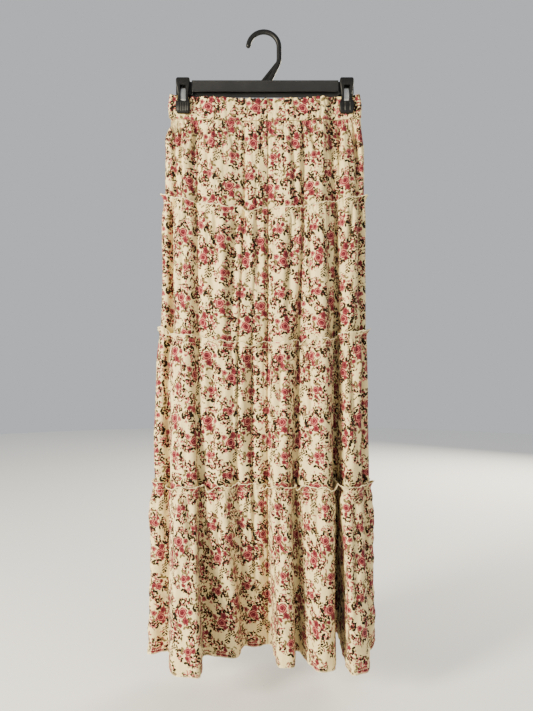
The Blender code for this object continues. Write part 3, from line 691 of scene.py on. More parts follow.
def shell(name, points, thickness, uv=None, marks=(), flip=False):
    """A thin closed wall: a grid moved out and in along its normals, and joined round its rim.

    The outer face is the points plus half the thickness along the normals, the inner face the
    points less it. The mark "inside" is 1 on the inner face.
    """
    rows, columns = points.shape[:2]
    normals = surface_normals(points) * (-1 if flip else 1)
    half = np.broadcast_to(np.asarray(thickness, float) / 2, (rows, columns))[:, :, None]
    outer, inner = points + normals * half, points - normals * half
    count = rows * columns
    index = np.arange(count).reshape(rows, columns)
    rim = np.concatenate([index[0, :-1], index[:-1, -1], index[-1, :0:-1], index[:0:-1, 0]])
    after = np.roll(rim, -1)
    edges = np.stack([rim, after, after + count, rim + count], axis=1)
    faces = [grid_faces(rows, columns), grid_faces(rows, columns, count, flip=True), edges]
    faces = np.concatenate(faces)[:, :: -1 if flip else 1]
    marks = {mark: np.tile(values.ravel(), 2) for mark, values in dict(marks).items()}
    marks["inside"] = np.repeat([0.0, 1.0], count)
    flat = None if uv is None else np.tile(uv.reshape(-1, 2), (2, 1))
    corners = np.concatenate([outer.reshape(-1, 3), inner.reshape(-1, 3)])
    return new_mesh(name, corners, faces, flat, marks)


def tube_parts(path, radius, sides):
    """Rings round a path: centre + r (cos a * first + sin a * second), with closed ends."""
    path = np.asarray(path, float)
    tangent = np.gradient(path, axis=0)
    tangent /= np.linalg.norm(tangent, axis=1)[:, None]
    first = np.cross(tangent, (0.0, 1.0, 0.0))
    first /= np.maximum(np.linalg.norm(first, axis=1), 1e-9)[:, None]
    second = np.cross(tangent, first)
    angle = 2 * math.pi * np.arange(sides) / sides
    radius = np.broadcast_to(radius, len(path))[:, None, None]
    ring = np.cos(angle)[None, :, None] * first[:, None] + np.sin(angle)[None, :, None] * second[:, None]
    points = (path[:, None] + radius * ring).reshape(-1, 3)
    last = np.arange(sides) + (len(path) - 1) * sides
    caps = []
    for loop in (np.arange(sides)[::-1], last):
        caps += [(loop[i - 1], loop[i], loop[-i - 1], loop[-i]) for i in range(1, sides // 2)]
    return points, np.concatenate([ring_faces(len(path), sides), np.array(caps)])


def joined(parts):
    """One set of points and faces from several."""
    starts = np.cumsum([0, *(len(points) for points, faces in parts)])
    faces = [part[1] + start for part, start in zip(parts, starts)]
    return np.concatenate([points for points, _ in parts]), np.concatenate(faces)


def plate(front, back, kept):
    """A closed body between two grids of points, open where a cell of the grid isn't kept."""
    rows, columns = front.shape[:2]
    count = rows * columns
    index = np.arange(count).reshape(rows, columns)
    around = np.pad(kept, 1)
    sides = (
        (index[:-1, :-1], index[:-1, 1:], around[:-2, 1:-1]),
        (index[:-1, 1:], index[1:, 1:], around[1:-1, 2:]),
        (index[1:, 1:], index[1:, :-1], around[2:, 1:-1]),
        (index[1:, :-1], index[:-1, :-1], around[1:-1, :-2]),
    )
    both = grid_faces(rows, columns), grid_faces(rows, columns, count, flip=True)
    faces = [part[kept.ravel()] for part in both]
    for first, second, beside in sides:
        a, b = first[kept & ~beside], second[kept & ~beside]
        faces.append(np.stack([a, b, b + count, a + count], axis=1))
    return np.concatenate([front.reshape(-1, 3), back.reshape(-1, 3)]), np.concatenate(faces)


def place_piece(piece, surface, slot, *nodes):
    """Give a piece its material, let it ride, and let it stand for CAD nodes. Its slot is not used."""
    piece.data.materials.append(surface)
    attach(piece, BODY)
    if nodes:
        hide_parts(*nodes)
    return piece


# ---------------------------------------------------------------- materials


def rgba(colour, factor=1.0):
    """An opaque colour, made lighter or darker by a factor."""
    return (*(factor * part for part in colour), 1.0)


def blend_of(share, first, second):
    """A colour between two."""
    return rgba([(1 - share) * a + share * b for a, b in zip(first, second)])


class Graph:
    """Adds nodes to a material and links them, so that a formula reads as calls."""

    def __init__(self, name):
        self.material = bpy.data.materials.new(name)
        self.material.use_nodes = True
        self.tree = self.material.node_tree
        self.shader = self.tree.nodes["Principled BSDF"]

    def feed(self, socket, value):
        """Link a socket to another one, or set it to a plain value."""
        if isinstance(value, bpy.types.NodeSocket):
            self.tree.links.new(value, socket)
        else:
            socket.default_value = value

    def add(self, kind, *values, sockets=(), **settings):
        """A node with its settings, fed in the order of its sockets, and then those that are named."""
        node = self.tree.nodes.new("ShaderNode" + kind)
        for key, value in settings.items():
            setattr(node, key, value)
        for socket, value in zip(node.inputs, values):
            self.feed(socket, value)
        for key, value in dict(sockets).items():
            self.feed(node.inputs[key], value)
        return node

    def finished(self, sockets):
        """Feed the shader's sockets by their names, and give the material."""
        for name, value in sockets.items():
            self.feed(self.shader.inputs[name], value)
        return self.material

    def math(self, operation, *values):
        return self.add("Math", *values, operation=operation).outputs[0]

    def line(self, value, slope, start):
        """value * slope + start."""
        return self.math("MULTIPLY_ADD", value, slope, start)

    def times(self, first, second):
        return self.math("MULTIPLY", first, second)

    def above(self, value, limit):
        """1 where the value is above the limit, and 0 elsewhere."""
        return self.math("GREATER_THAN", value, limit)

    def below(self, value, limit):
        return self.math("LESS_THAN", value, limit)

    def vector(self, operation, *values):
        return self.add("VectorMath", *values, operation=operation).outputs["Vector"]

    def reach(self, vector, half):
        """Length of a vector in units of a half length and a half width."""
        away = self.vector("DIVIDE", vector, (*half, 1))
        return self.add("VectorMath", away, operation="LENGTH").outputs["Value"]

    def spin(self, vector, angle):
        """A vector turned about Z."""
        node = self.add("VectorRotate", vector, sockets={"Angle": angle}, rotation_type="Z_AXIS")
        return node.outputs["Vector"]

    def parts(self, vector):
        return self.add("SeparateXYZ", vector).outputs

    def joined(self, *parts):
        return self.add("CombineXYZ", *parts).outputs[0]

    def chances(self, *parts):
        """Three random numbers for whole-number parts."""
        colour = self.add("TexWhiteNoise", self.joined(*parts), noise_dimensions="3D").outputs["Color"]
        return self.add("SeparateColor", colour).outputs

    def step(self, value, start, end):
        """0 before start and 1 after end; 1 to 0 where start is the larger."""
        low, high = sorted((start, end))
        limits = {"From Min": low, "From Max": high, "To Min": start > end, "To Max": start <= end}
        return self.add("MapRange", value, sockets=limits, interpolation_type="SMOOTHSTEP").outputs["Result"]

    def mix(self, share, first, second, blend="MIX"):
        """A colour between two, or blended with the second in another way."""
        sockets = {0: share, 6: first, 7: second}
        return self.add("Mix", sockets=sockets, data_type="RGBA", blend_type=blend).outputs[2]

    def pick(self, share, first, second):
        """A vector between two."""
        return self.add("Mix", sockets={0: share, 4: first, 5: second}, data_type="VECTOR").outputs[1]

    def noise(self, where, scale, detail=2.0, dimensions="3D"):
        sockets = {"Vector": where, "Scale": scale, "Detail": detail}
        node = self.add("TexNoise", sockets=sockets, noise_dimensions=dimensions)
        return node.outputs["Fac"], node.outputs["Color"]

    def bump(self, height, strength, distance):
        sockets = {"Height": height, "Strength": strength, "Distance": distance}
        return self.add("Bump", sockets=sockets).outputs["Normal"]

    def mark(self, name):
        """A value that the mesh holds at its points."""
        return self.add("Attribute", attribute_name=name).outputs["Fac"]

    def place(self):
        return self.add("TexCoord").outputs["Object"]


def motifs_of(kind):
    """All motifs of one kind in the repeat, each turned and moved with its spray."""
    rows = []
    for spray in SPRAYS:
        turn = math.radians(spray.turn)
        for row in spray.motifs[kind]:
            x = spray.x + row.x * math.cos(turn) - row.y * math.sin(turn)
            y = spray.y + row.x * math.sin(turn) + row.y * math.cos(turn)
            rows.append(row._replace(x=x, y=y, turn=row.turn + spray.turn))
    return rows


def nearest_of(graph, where, kind):
    """The way from the nearest motif of a kind, turned to its direction, with the motif's number
    as its third part; and its length in units of the motif's half length and half width."""
    half = (REPEAT[0] / 2, REPEAT[1] / 2, 1)
    best, nearest = None, None
    for number, row in enumerate(motifs_of(kind)):
        away = graph.vector("SUBTRACT", where, (row.x, row.y, 0))
        away = graph.vector("WRAP", away, half, tuple(-value for value in half))
        away = graph.spin(away, -math.radians(row.turn))
        size = graph.reach(away, (row.long, row.wide))
        away = graph.vector("ADD", away, (0, 0, number))
        if best is None:
            best, nearest = size, away
        else:
            nearest = graph.pick(graph.below(size, best), nearest, away)
            best = graph.math("MINIMUM", best, size)
    return nearest, best


def rose_print(graph, where, colour, kind, tones):
    """Roses. The petals lie on a spiral, s = 2.3 r + a / 2 pi + 0.1 sin(5 a + n), and each turn of it
    goes from its first tone, where the petal inside it shades it, to its last tone at its edge. The
    outline is r = 1 + 0.1 sin(5 a + n) + 0.05 sin(3 a). n differs from rose to rose."""
    away, size = nearest_of(graph, where, kind)
    along, across, number = graph.parts(away)
    angle = graph.math("ARCTAN2", across, along)
    lobes = graph.math("SINE", graph.line(angle, LOBES, graph.math("ADD", number, 1.0)))
    broad = graph.math("SINE", graph.times(angle, 3.0))
    edge = graph.line(lobes, LOBE_HEIGHT, graph.line(broad, 0.05, 1.0))
    spiral = graph.line(angle, 1 / (2 * math.pi), graph.times(size, PETAL_TURNS))
    light = graph.math("FRACT", graph.line(lobes, LOBE_HEIGHT, spiral))
    light = graph.times(light, graph.line(graph.step(size, 0.1, 0.7), 0.6, 0.4))
    tone = graph.mix(graph.step(light, 0.32, 0.66), tones[0], tones[1])
    tone = graph.mix(graph.step(light, 0.60, 0.95), tone, tones[2])
    return graph.mix(graph.step(graph.math("SUBTRACT", size, edge), 0.05, -0.05), colour, tone)


def twig_print(graph, where, colour, cloth):
    """Twigs: a wavy stem with leaves and buds that alternate along it, each leaning forward."""
    near, size = nearest_of(graph, where, "twig")
    along, across, number = graph.parts(near)
    sway = graph.math("SINE", graph.line(along, 0.24, number))
    across = graph.line(sway, 1.1, across)
    other = graph.above(across, 0.0)
    place = graph.line(along, 1 / TWIG_PITCH, graph.line(other, 0.5, 20.0))
    first, second, third = graph.chances(graph.math("FLOOR", place), other, number)[:3]
    here = graph.times(graph.math("SUBTRACT", graph.math("FRACT", place), 0.5), TWIG_PITCH)
    away = graph.math("SUBTRACT", graph.math("ABSOLUTE", across), TWIG_LEAF_OFF)
    away = graph.spin(graph.joined(here, away), math.radians(TWIG_LEAF_TURN))
    blade = graph.line(second, 0.35, graph.reach(away, TWIG_LEAF))
    inside = graph.step(size, 1.05, 0.92)
    stem = graph.times(graph.step(graph.math("ABSOLUTE", across), 0.5, 0.25), inside)
    colour = graph.mix(stem, colour, rgba(cloth.stem))
    tone = graph.mix(graph.above(first, 0.65), rgba(cloth.leaf), rgba(cloth.olive))
    tone = graph.mix(graph.above(first, 0.75), tone, rgba(cloth.crimson))
    share = graph.times(graph.step(blade, 1.22, 1.02), graph.below(third, 0.93))
    return graph.mix(graph.times(share, inside), colour, tone)


def pair_of_leaves(graph, away, half):
    """Two ellipses that part from one point, as far to either side: how much of them is there."""
    along, across = graph.parts(away)[:2]
    away = graph.joined(along, graph.math("ABSOLUTE", across))
    away = graph.spin(away, -math.radians(LEAF_SPREAD))
    away = graph.vector("SUBTRACT", away, (half[0], 0, 0))
    return graph.step(graph.reach(away, half), *BLADE_EDGE)


def scatter_print(graph, where, within, colour, cloth, scatter, paired):
    """Buds on thin stalks, or pairs of leaves, at scattered points and turned at random."""
    moved = graph.vector("ADD", where, (13.7 * scatter.seed, 7.3 * scatter.seed, 0))
    sockets = {"Vector": moved, "Scale": 1 / scatter.cell, "Randomness": 0.85}
    node = graph.add("TexVoronoi", sockets=sockets, voronoi_dimensions="2D", feature="F1")
    away = graph.vector("SUBTRACT", moved, node.outputs["Position"])
    first, second, third = graph.add("SeparateColor", node.outputs["Color"]).outputs[:3]
    away = graph.spin(away, graph.times(first, 2 * math.pi))
    there = graph.below(second, graph.times(within, scatter.keep))
    if paired:
        mark = pair_of_leaves(graph, away, (scatter.long, scatter.wide))
    else:
        stalk = graph.step(graph.math("ABSOLUTE", graph.parts(away)[1]), 0.28, 0.10)
        colour = graph.mix(graph.times(stalk, there), colour, rgba(cloth.stem))
        mark = graph.step(graph.reach(away, (scatter.long, scatter.wide)), *BLADE_EDGE)
    tone = blend_of(0.38, cloth.crimson, cloth.rose)
    for limit, other in (
        (scatter.crimson, cloth.rose),
        (scatter.rose, cloth.olive),
        (scatter.olive, cloth.leaf),
    ):
        tone = graph.mix(graph.above(third, limit), tone, rgba(other))
    return graph.mix(graph.times(mark, there), colour, tone)


def bud_print(graph, where, colour, cloth):
    """Sprays of buds on thin stalks, with pairs of small leaves."""
    size = nearest_of(graph, where, "buds")[1]
    rough = graph.noise(where, 0.22, 1.0, "2D")[0]
    within = graph.below(graph.line(rough, 0.9, size), 1.38)
    colour = scatter_print(graph, where, within, colour, cloth, BUDS, paired=False)
    return scatter_print(graph, where, within, colour, cloth, PAIRS, paired=True)


def leaf_print(graph, where, colour, cloth):
    """Pairs of large leaves beside the roses, some of them pale."""
    away = nearest_of(graph, where, "leaf")[0]
    pale = graph.above(graph.chances(graph.parts(away)[2], 5.0, 5.0)[0], 0.72)
    tone = graph.mix(pale, rgba(cloth.leaf), rgba(cloth.olive))
    return graph.mix(pair_of_leaves(graph, away, LEAF_HALF), colour, tone)


def flower_print(graph, cloth):
    """Colour of the printed cloth, from the plain ground up to the roses, and the place in
    millimetres that it reads: the cloth's UV map, moved a little by noise."""
    flat = graph.add("UVMap", uv_map="cloth").outputs[0]
    flat = graph.add("VectorMath", flat, sockets={"Scale": 1 / MM}, operation="SCALE").outputs["Vector"]
    moved = graph.vector("SUBTRACT", graph.noise(flat, 0.12, 1.0, "2D")[1], (0.5, 0.5, 0.5))
    where = graph.vector("MULTIPLY_ADD", moved, (2.2, 2.2, 0.0), flat)
    colour = scatter_print(graph, where, 1.0, rgba(cloth.ground), cloth, STRAYS, paired=True)
    colour = bud_print(graph, where, colour, cloth)
    colour = twig_print(graph, where, colour, cloth)
    colour = leaf_print(graph, where, colour, cloth)
    dark, rose = rgba(cloth.crimson), rgba(cloth.rose)
    deep, warm = blend_of(0.25, cloth.crimson, cloth.rose), blend_of(0.75, cloth.crimson, cloth.rose)
    light = blend_of(0.22, cloth.rose, cloth.ground)
    colour = rose_print(graph, where, colour, "dark rose", (dark, deep, warm))
    return rose_print(graph, where, colour, "pink rose", (dark, rose, light)), where


def cloth_material(name, cloth):
    """Printed voile: the print, paler on the wrong side, a cream raw edge, slubs and a fine weave."""
    graph = Graph(name)
    colour, where = flower_print(graph, cloth)
    pale = graph.mix(0.5, colour, rgba(cloth.ground))
    colour = graph.mix(graph.mark("inside"), colour, pale)
    colour = graph.mix(graph.mark("edge"), colour, rgba(EDGE_CREAM))
    slub = graph.noise(graph.vector("MULTIPLY", where, (0.6, 0.05, 1)), 1.0, 3.0)[0]
    shade = graph.mix(graph.step(slub, 0.35, 0.7), rgba((0.92, 0.92, 0.91)), rgba((1.04, 1.04, 1.04)))
    threads = graph.noise(graph.vector("MULTIPLY", where, (2.4, 2.4, 1.0)), 1.0, 2.0)[0]
    crumple = graph.noise(where, 0.09, 3.0)[0]
    height = graph.line(crumple, 4.0, graph.times(threads, 0.25))
    return graph.finished(
        {
            "Base Color": graph.mix(1.0, colour, shade, "MULTIPLY"),
            "Roughness": 0.85,
            "Sheen Weight": 0.05,
            "Specular IOR Level": 0.1,
            "Normal": graph.bump(height, 0.4, 0.0008),
        }
    )


def thread_material(name, colour):
    """Sewing thread: fine ridges that run round it."""
    graph = Graph(name)
    fibre = graph.noise(graph.place(), 900.0, 2.0)[0]
    return graph.finished(
        {
            "Base Color": graph.mix(fibre, rgba(colour, 0.82), rgba(colour)),
            "Roughness": 0.8,
            "Normal": graph.bump(fibre, 0.4, 0.0003),
        }
    )


def plastic_material(name, colour, roughness, specular):
    """Moulded plastic: a fine grain, and a slight cloudiness in how it shines."""
    graph = Graph(name)
    cloud = graph.noise(graph.place(), 45.0, 3.0)[0]
    grain = graph.noise(graph.place(), 1400.0, 2.0)[0]
    return graph.finished(
        {
            "Base Color": graph.mix(cloud, rgba(colour, 0.8), rgba(colour, 1.3)),
            "Roughness": graph.line(cloud, 0.14, roughness - 0.07),
            "Specular IOR Level": specular,
            "Normal": graph.bump(grain, 0.12, 0.0002),
        }
    )


def steel_material(name):
    """Bright spring steel with fine scratches along its length."""
    graph = Graph(name)
    long = graph.vector("MULTIPLY", graph.place(), (2600.0, 2600.0, 90.0))
    scratch = graph.noise(long, 1.0, 2.0)[0]
    return graph.finished(
        {
            "Base Color": graph.mix(scratch, rgba((0.42, 0.42, 0.40)), rgba((0.66, 0.66, 0.63))),
            "Metallic": 1.0,
            "Roughness": graph.line(scratch, 0.15, 0.22),
        }
    )


def made_once(name, maker, *values):
    """The material of that name, which its first user makes."""
    return bpy.data.materials.get(name) or maker(name, *values)


# ---------------------------------------------------------------- cloth pieces


def cloth_uv(side, tier, along, down):
    """Flat cloth in metres: down from the mean length, and across between two ways that cloth is
    gathered: evenly along each row, and straight up from the widest row. The back is mirrored."""
    widest = along[np.argmax(along[:, -1])]
    even = along / along[:, -1:] * widest[-1]
    across = EVEN_SHARE * even + (1 - EVEN_SHARE) * widest[None, :] - widest[-1] / 2
    start_across, start_down = TIER_START[tier]
    across = across + start_across + (BACK_START if side == BACK else 0)
    down = start_down - np.broadcast_to(down[:, None], along.shape)
    return np.stack([-side * across, down], axis=2) * MM


def tier_heights(top, bottom, count, tight):
    """Heights that lie closer together near the top: the distance goes with share^tight."""
    share = np.linspace(0, 1, count)
    return top - (top - bottom) * share**tight


def bend_over(length, turn):
    """How far a strip that turns evenly by an angle reaches up and out over its length."""
    half = np.maximum(np.abs(turn) / 2, 1e-6)
    chord = length * np.sin(half) / half
    return chord * np.cos(half), chord * np.sin(half)


def heading_turns(side, seam, x):
    """Turn and added length of a heading at each column, from the table of curls."""
    turn = np.radians(24 + 20 * uneven(x / 6.0, seam + side))
    longer = 0.6 * uneven(x / 8.0, seam + 3)
    for curl in CURLS[side][seam]:
        near = bell((x - curl.place) / (0.62 * curl.half))
        turn = turn * (1 - near) + math.radians(curl.turn) * near
        longer = longer + curl.longer * near
    return np.clip(turn, 0.02, math.radians(170)), longer


def heading_points(side, seam, row, outward, along):
    """The strip above a gathering stitch. Each column is an arc that leaves the stitch upwards and
    turns outwards, on waves that grow towards its raw edge."""
    turn, longer = heading_turns(side, seam, row[:, 0])
    ends = free_ends(along, 8)
    turn, longer = turn * (0.3 + 0.7 * ends), longer * ends
    ruffle = waves(along, 11.0, seam + 2 * side) * ends
    small = waves(along, 5.5, seam + 7) * ends
    rows = []
    for share in np.linspace(1, 0, HEADING_ROWS):
        up, out = bend_over(share * (HEADING + longer), turn * share)
        spread = LAP + out + share * (3.8 * ruffle + 1.4 * small) + 0.9 * small * (1 - share)
        rise = up + share * LIVELY[seam] * (1.6 * (ruffle - 0.4) + 0.8 * (small - 0.4))
        rows.append(row + outward * spread[:, None] + np.outer(rise, (0, 0, 1)))
    return np.array(rows)


def tier_cloth(side, tier, cloth):
    """Points of a tier, its lengths along and down, and how cream each row is. Its gathers are
    strongest at its top seam: fine and middling ones fade as exp(-depth / fade), and broad ones
    begin where those end."""
    top, bottom = stitch_height(tier - 1), stitch_height(tier)
    gathered, last = tier > 1, tier == 4
    start, end = top if gathered else top - GAP, bottom + 1.4 * HEM if last else bottom - UNDERLAP
    heights = tier_heights(start, end, TIER_ROWS[tier], TIGHTER_AT_TOP)
    if last:
        heights = np.concatenate([heights, bottom + HEM * np.array(HEM_ROWS)])
    fall = drape(side, heights)
    below = (heights[0] - heights)[:, None]
    seam, wide = fall.along[:1], fall.along[-1:]
    seed = 3.1 * tier + side
    drift = 3.0 * uneven(below / 60.0, seed)
    fine = waves(seam + 0.4 * drift, FINE_GATHER, seed) * np.exp(-below / FINE_FADE)
    middle = waves(seam + drift, MIDDLE_GATHER, seed + 1) * np.exp(-below / MIDDLE_FADE)
    middle = middle * ramp(below, -2, 14)
    broad = (waves(wide + 2 * drift, BROAD_GATHER, seed + 2) - 0.4) * ramp(below, 10, 60)
    if not last:
        broad = broad * (1 - ramp(below, top - bottom - 60, top - bottom - 12))
    gather = cloth.gather / MM
    if gathered:
        lap = LAP * (1 - 0.7 * ramp(below, 20, 120))
        gathers = gather * (0.95 * fine + 1.5 * middle)
    else:
        lap = 0.0
        gathers = gather * (1.1 * (fine - 0.4) + 1.7 * (middle - 0.3))
    common = folded(side, fall, heights)
    if tier == 1:
        common = common + side_pinch(fall, heights)
    out = common + lap + free_ends(seam, 16, 2) * (gathers + 0.5 * gather * broad)
    points = fall.middle + fall.outward * out[:, :, None]
    smooth = fall.middle + fall.outward * common[:, :, None]
    down, along = fall.down, np.array([lengths_along(row) for row in smooth])
    cream = np.zeros(len(heights))
    if last:
        cream[-2:] = (0.5, 0.8)
    if gathered:
        heading = heading_points(side, tier - 1, smooth[0], fall.outward[0], along[0])
        share = np.linspace(1, 0, HEADING_ROWS)[:-1]
        points = np.concatenate([heading[:-1], points])
        down = np.concatenate([-HEADING * share, down])
        along = np.concatenate([np.repeat(along[:1], len(share), axis=0), along])
        cream = np.concatenate([(share > 0.95).astype(float), cream])
    return points, along, down, cream


def make_tier(word, side, tier, cloth, surface):
    """One panel of a tier as a thin shell, thicker at its hem. Gives its points too."""
    points, along, down, cream = tier_cloth(side, tier, cloth)
    thickness = np.full((len(points), 1), cloth.thickness / MM)
    if tier == 4:
        thickness[1 - len(HEM_ROWS) :] = HEM_WALL
    marks = {"edge": np.broadcast_to(cream[:, None], points.shape[:2])}
    uv = cloth_uv(side, tier, along, down)
    piece = shell(f"tier{tier}_{word}_cloth", points, thickness, uv, marks, flip=side == BACK)
    return place_piece(piece, surface, "tier_cloth", f"tier{tier}_{word}"), points


def band_cloth(side, cloth):
    """The elastic casing: flutes stand out between its two rows of stitching, and its top edge
    is drawn up between them. Its thickness rounds off at the top and bottom edges."""
    top, bottom = stitch_height(-1), stitch_height(0) + GAP
    depth = cloth.casing / MM / 2
    round_off = np.sin(np.linspace(0, math.pi / 2, 6))[:-1]
    edge, thin = depth * (1 - round_off), depth * round_off**0.9
    rows = np.linspace(top - depth, bottom + depth, 20)
    heights = np.concatenate([top - edge, rows, (bottom + edge)[::-1]])
    half = np.maximum(np.concatenate([thin, np.full(len(rows), depth), thin[::-1]]), 0.12)
    fall = drape(side, heights)
    share = ((top - heights) / (top - bottom))[:, None]
    seam = fall.along[:1]
    x = fall.middle[:, :, 0]
    left, right = CLIP_PLACE[0] + CLIP_HOLD, CLIP_PLACE[1] - CLIP_HOLD
    free = ramp(x, left, left + CLIP_HOLD) * (1 - ramp(x, right - CLIP_HOLD, right))
    seed = 9.0 + side
    flute = waves(seam + 2.2 * uneven(4 * share, seed), 9.0, seed)
    small = waves(seam + 1.2 * uneven(6 * share, seed + 4), 4.6, seed + 2)
    edges = 0.6 + 0.4 * (np.abs(2 * share - 1) ** 2)
    out = free * (2.2 * (flute - 0.35) * edges + 0.8 * (small - 0.3) * edges)
    near_top = 1 - ramp(share, 0.0, 0.3)
    points = fall.middle + fall.outward * out[:, :, None]
    points[:, :, 2] += near_top * (1.5 * (flute - 0.4) + 0.5 * small) * (0.35 + 0.65 * free)
    return points, half, fall


def make_waistband(word, side, cloth, surface):
    """The front or the back of the casing, as a closed wall."""
    points, half, fall = band_cloth(side, cloth)
    uv = cloth_uv(side, 0, fall.along, fall.down)
    piece = shell(f"waistband_{word}_cloth", points, 2 * half[:, None], uv, flip=side == BACK)
    return place_piece(piece, surface, "waistband_cloth", f"waistband_{word}")


def make_overlock(word, tier, edge, surface):
    """Overlocking over the raw edge of a heading: a slim tube with a slight pulse."""
    beat = 1 + 0.12 * np.sin(np.arange(len(edge)) * 2.1)
    points, faces = tube_parts(edge, OVERLOCK_HALF * beat, 8)
    piece = new_mesh(f"overlock_tier{tier}_{word}", points, faces, sharp=80)
    return place_piece(piece, surface, "tier_cloth")


def stitches(path, outward, lie):
    """Dashes of thread along a line on the cloth: boxes with narrowed ends, as one mesh."""
    length = lengths_along(path)
    starts = np.arange(STITCH_GAP, length[-1] - STITCH_LONG - STITCH_GAP, STITCH_LONG + STITCH_GAP)
    stations = starts[:, None] + STITCH_LONG * np.array([0.0, 0.22, 0.78, 1.0])[None, :]
    high = lie + THREAD_HALF * np.array([-0.6, 0.5, 0.5, -0.6])
    normal = points_at(stations, length, outward)
    centre = points_at(stations, length, path) + normal * high[None, :, None]
    tangent = np.gradient(centre, axis=1)
    tangent /= np.linalg.norm(tangent, axis=2)[:, :, None]
    upward = np.cross(tangent, normal)
    corners = ((1, 0), (0, 1), (-1, 0), (0, -1))
    sides = [centre + THREAD_HALF * (a * normal * 0.8 + b * upward) for a, b in corners]
    points = np.stack(sides, axis=2).reshape(-1, 3)
    one = np.concatenate([ring_faces(4, 4), [(3, 2, 1, 0), (12, 13, 14, 15)]])
    faces = one[None] + 16 * np.arange(len(starts))[:, None, None]
    return points, faces.reshape(-1, 4)


def stitch_line(name, side, points, row, lie, surface):
    """One row of stitching on a cloth grid, with its faces pointing out."""
    normals = surface_normals(points) * (-1 if side == BACK else 1)
    piece = new_mesh(name, *stitches(points[row], normals[row], lie), sharp=80)
    outward_faces(piece)
    return place_piece(piece, surface, "tier_cloth")


# ---------------------------------------------------------------- hanger pieces


def make_hook(settings, surface):
    """A rod round three quarters of a circle, its leg, and a gusset of two ribs and a web. The tip
    rounds off as sqrt(1 - (1 - s)^2)."""
    rod = settings.rod / MM
    radius = HOOK_INSIDE + rod / 2
    foot = (9.5, 0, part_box("hanger_bar")[1].z / MM + 0.3)
    turn = np.linspace(-0.06, math.pi, 60)
    circle = np.stack([-radius * np.cos(turn), 0 * turn, radius * np.sin(turn) - HOOK_INSIDE], axis=1)
    leg = [(radius, 0, z) for z in np.linspace(-24, -43, 8)]
    lower = [(radius - 0.3, 0, -46), (radius - 1.4, 0, -50), (radius - 3.6, 0, -54), foot]
    path = np.concatenate([circle, leg, lower])
    length = lengths_along(path)
    even = np.linspace(0, length[-1], 120)
    path = rounded(points_at(even, length, path), 2.5)
    tip = np.sqrt(np.clip(1 - (1 - even / (rod / 2)) ** 2, 0.04, 1))
    taper = rod / 2 * np.where(even < rod / 2, tip, 1)
    share = np.linspace(0, 1, 24)[:, None]
    starts = np.array([(radius - 2.6, 0, -48.0), (radius - 3.0, 0, -50.0)])
    ends = np.array([(-2.5, 0, foot[2]), foot])
    inner, outer = (start + (end - start) * share for start, end in zip(starts, ends))
    web, half = np.stack([inner, outer], axis=1), np.array([0, 1.6, 0])
    gusset = plate(web - half, web + half, np.ones((len(share) - 1, 1), bool))
    parts = [tube_parts(path, taper, 32), tube_parts(inner, 0.31 * rod, 20), gusset]
    piece = new_mesh("hook", *joined(parts), sharp=50)
    outward_faces(piece)
    return place_piece(piece, surface, "hanger_plastic", "hanger_hook")


def rounded_outline(corners, reach):
    """A closed outline with each corner cut by an arc: quadratic curves between points that lie
    that far from the corner."""
    corners = np.asarray(corners, float)
    before, after = np.roll(corners, 1, axis=0), np.roll(corners, -1, axis=0)
    back, ahead = before - corners, after - corners
    near = np.minimum(reach, 0.45 * np.linalg.norm(back, axis=1))
    far = np.minimum(reach, 0.45 * np.linalg.norm(ahead, axis=1))
    start = corners + back / np.linalg.norm(back, axis=1)[:, None] * near[:, None]
    end = corners + ahead / np.linalg.norm(ahead, axis=1)[:, None] * far[:, None]
    step = np.linspace(0, 1, 5)[None, :, None]
    arc = (1 - step) ** 2 * start[:, None] + 2 * step * (1 - step) * corners[:, None] + step**2 * end[:, None]
    return arc.reshape(-1, 2)


def make_bar(surface):
    """The channel: its outline in YZ carried along X, with a raised lip round its front face."""
    low, high = (np.array(corner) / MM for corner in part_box("hanger_bar"))
    bottom, top, front, back = low[2], high[2], low[1], high[1]
    lip, sunk, wall = 2.4, 0.8, 2.5
    face_bottom = top - 19.0
    corners = [
        (front, top),
        (front, top - lip),
        (front + sunk, top - lip - 0.3),
        (front + sunk, face_bottom + 1.3),
        (front, face_bottom + 1.0),
        (front, face_bottom),
        (front + wall, face_bottom),
        (front + wall, top - wall),
        (back - wall, top - wall),
        (back - wall, bottom),
        (back, bottom),
        (back, top),
    ]
    outline = rounded_outline(corners, 0.6)
    near_end = np.array([0.0, 0.2, 0.6])
    stations = np.concatenate([low[0] + near_end, high[0] - near_end[::-1]])
    drawn_in = np.concatenate([near_end[::-1], near_end])[:, None, None]
    centre = np.array([(front + back) / 2, (top + bottom) / 2])
    rings = outline + np.sign(centre - outline) * drawn_in * 0.3
    along = np.broadcast_to(stations[:, None, None], (*rings.shape[:2], 1))
    points = np.concatenate([along, rings], axis=2).reshape(-1, 3)
    piece = new_mesh("bar", points, ring_faces(*rings.shape[:2]), sharp=35)
    outward_faces(piece, fill_ends=True)
    return place_piece(piece, surface, "hanger_plastic", "hanger_bar")


def jaw_face(word, x, half, stand, drops):
    """How far a jaw's face stands out: by the table, less r (1 - sqrt(1 - (1 - s)^2)) near its
    edges, and with the ribs of its pad."""
    inside = half - np.abs(x)
    share = np.minimum(inside, np.minimum(drops, JAW_END - drops)) / JAW_ROUNDING
    share = np.clip(share, 0, 1)
    face = stand - JAW_ROUNDING * (1 - np.sqrt(1 - (1 - share) ** 2))
    pad = ramp(drops, 42, 44.5) * (1 - ramp(drops, 56, 58.5))
    if word == "left":
        ribs = 0.45 * np.cos(2 * math.pi * x / 2.9)
    else:
        ribs = -1.1 * (bell((x - 4.2) / 0.7) + bell((x + 4.2) / 0.7))
    return face + pad * ribs * ramp(inside, 0.8, 2.2)


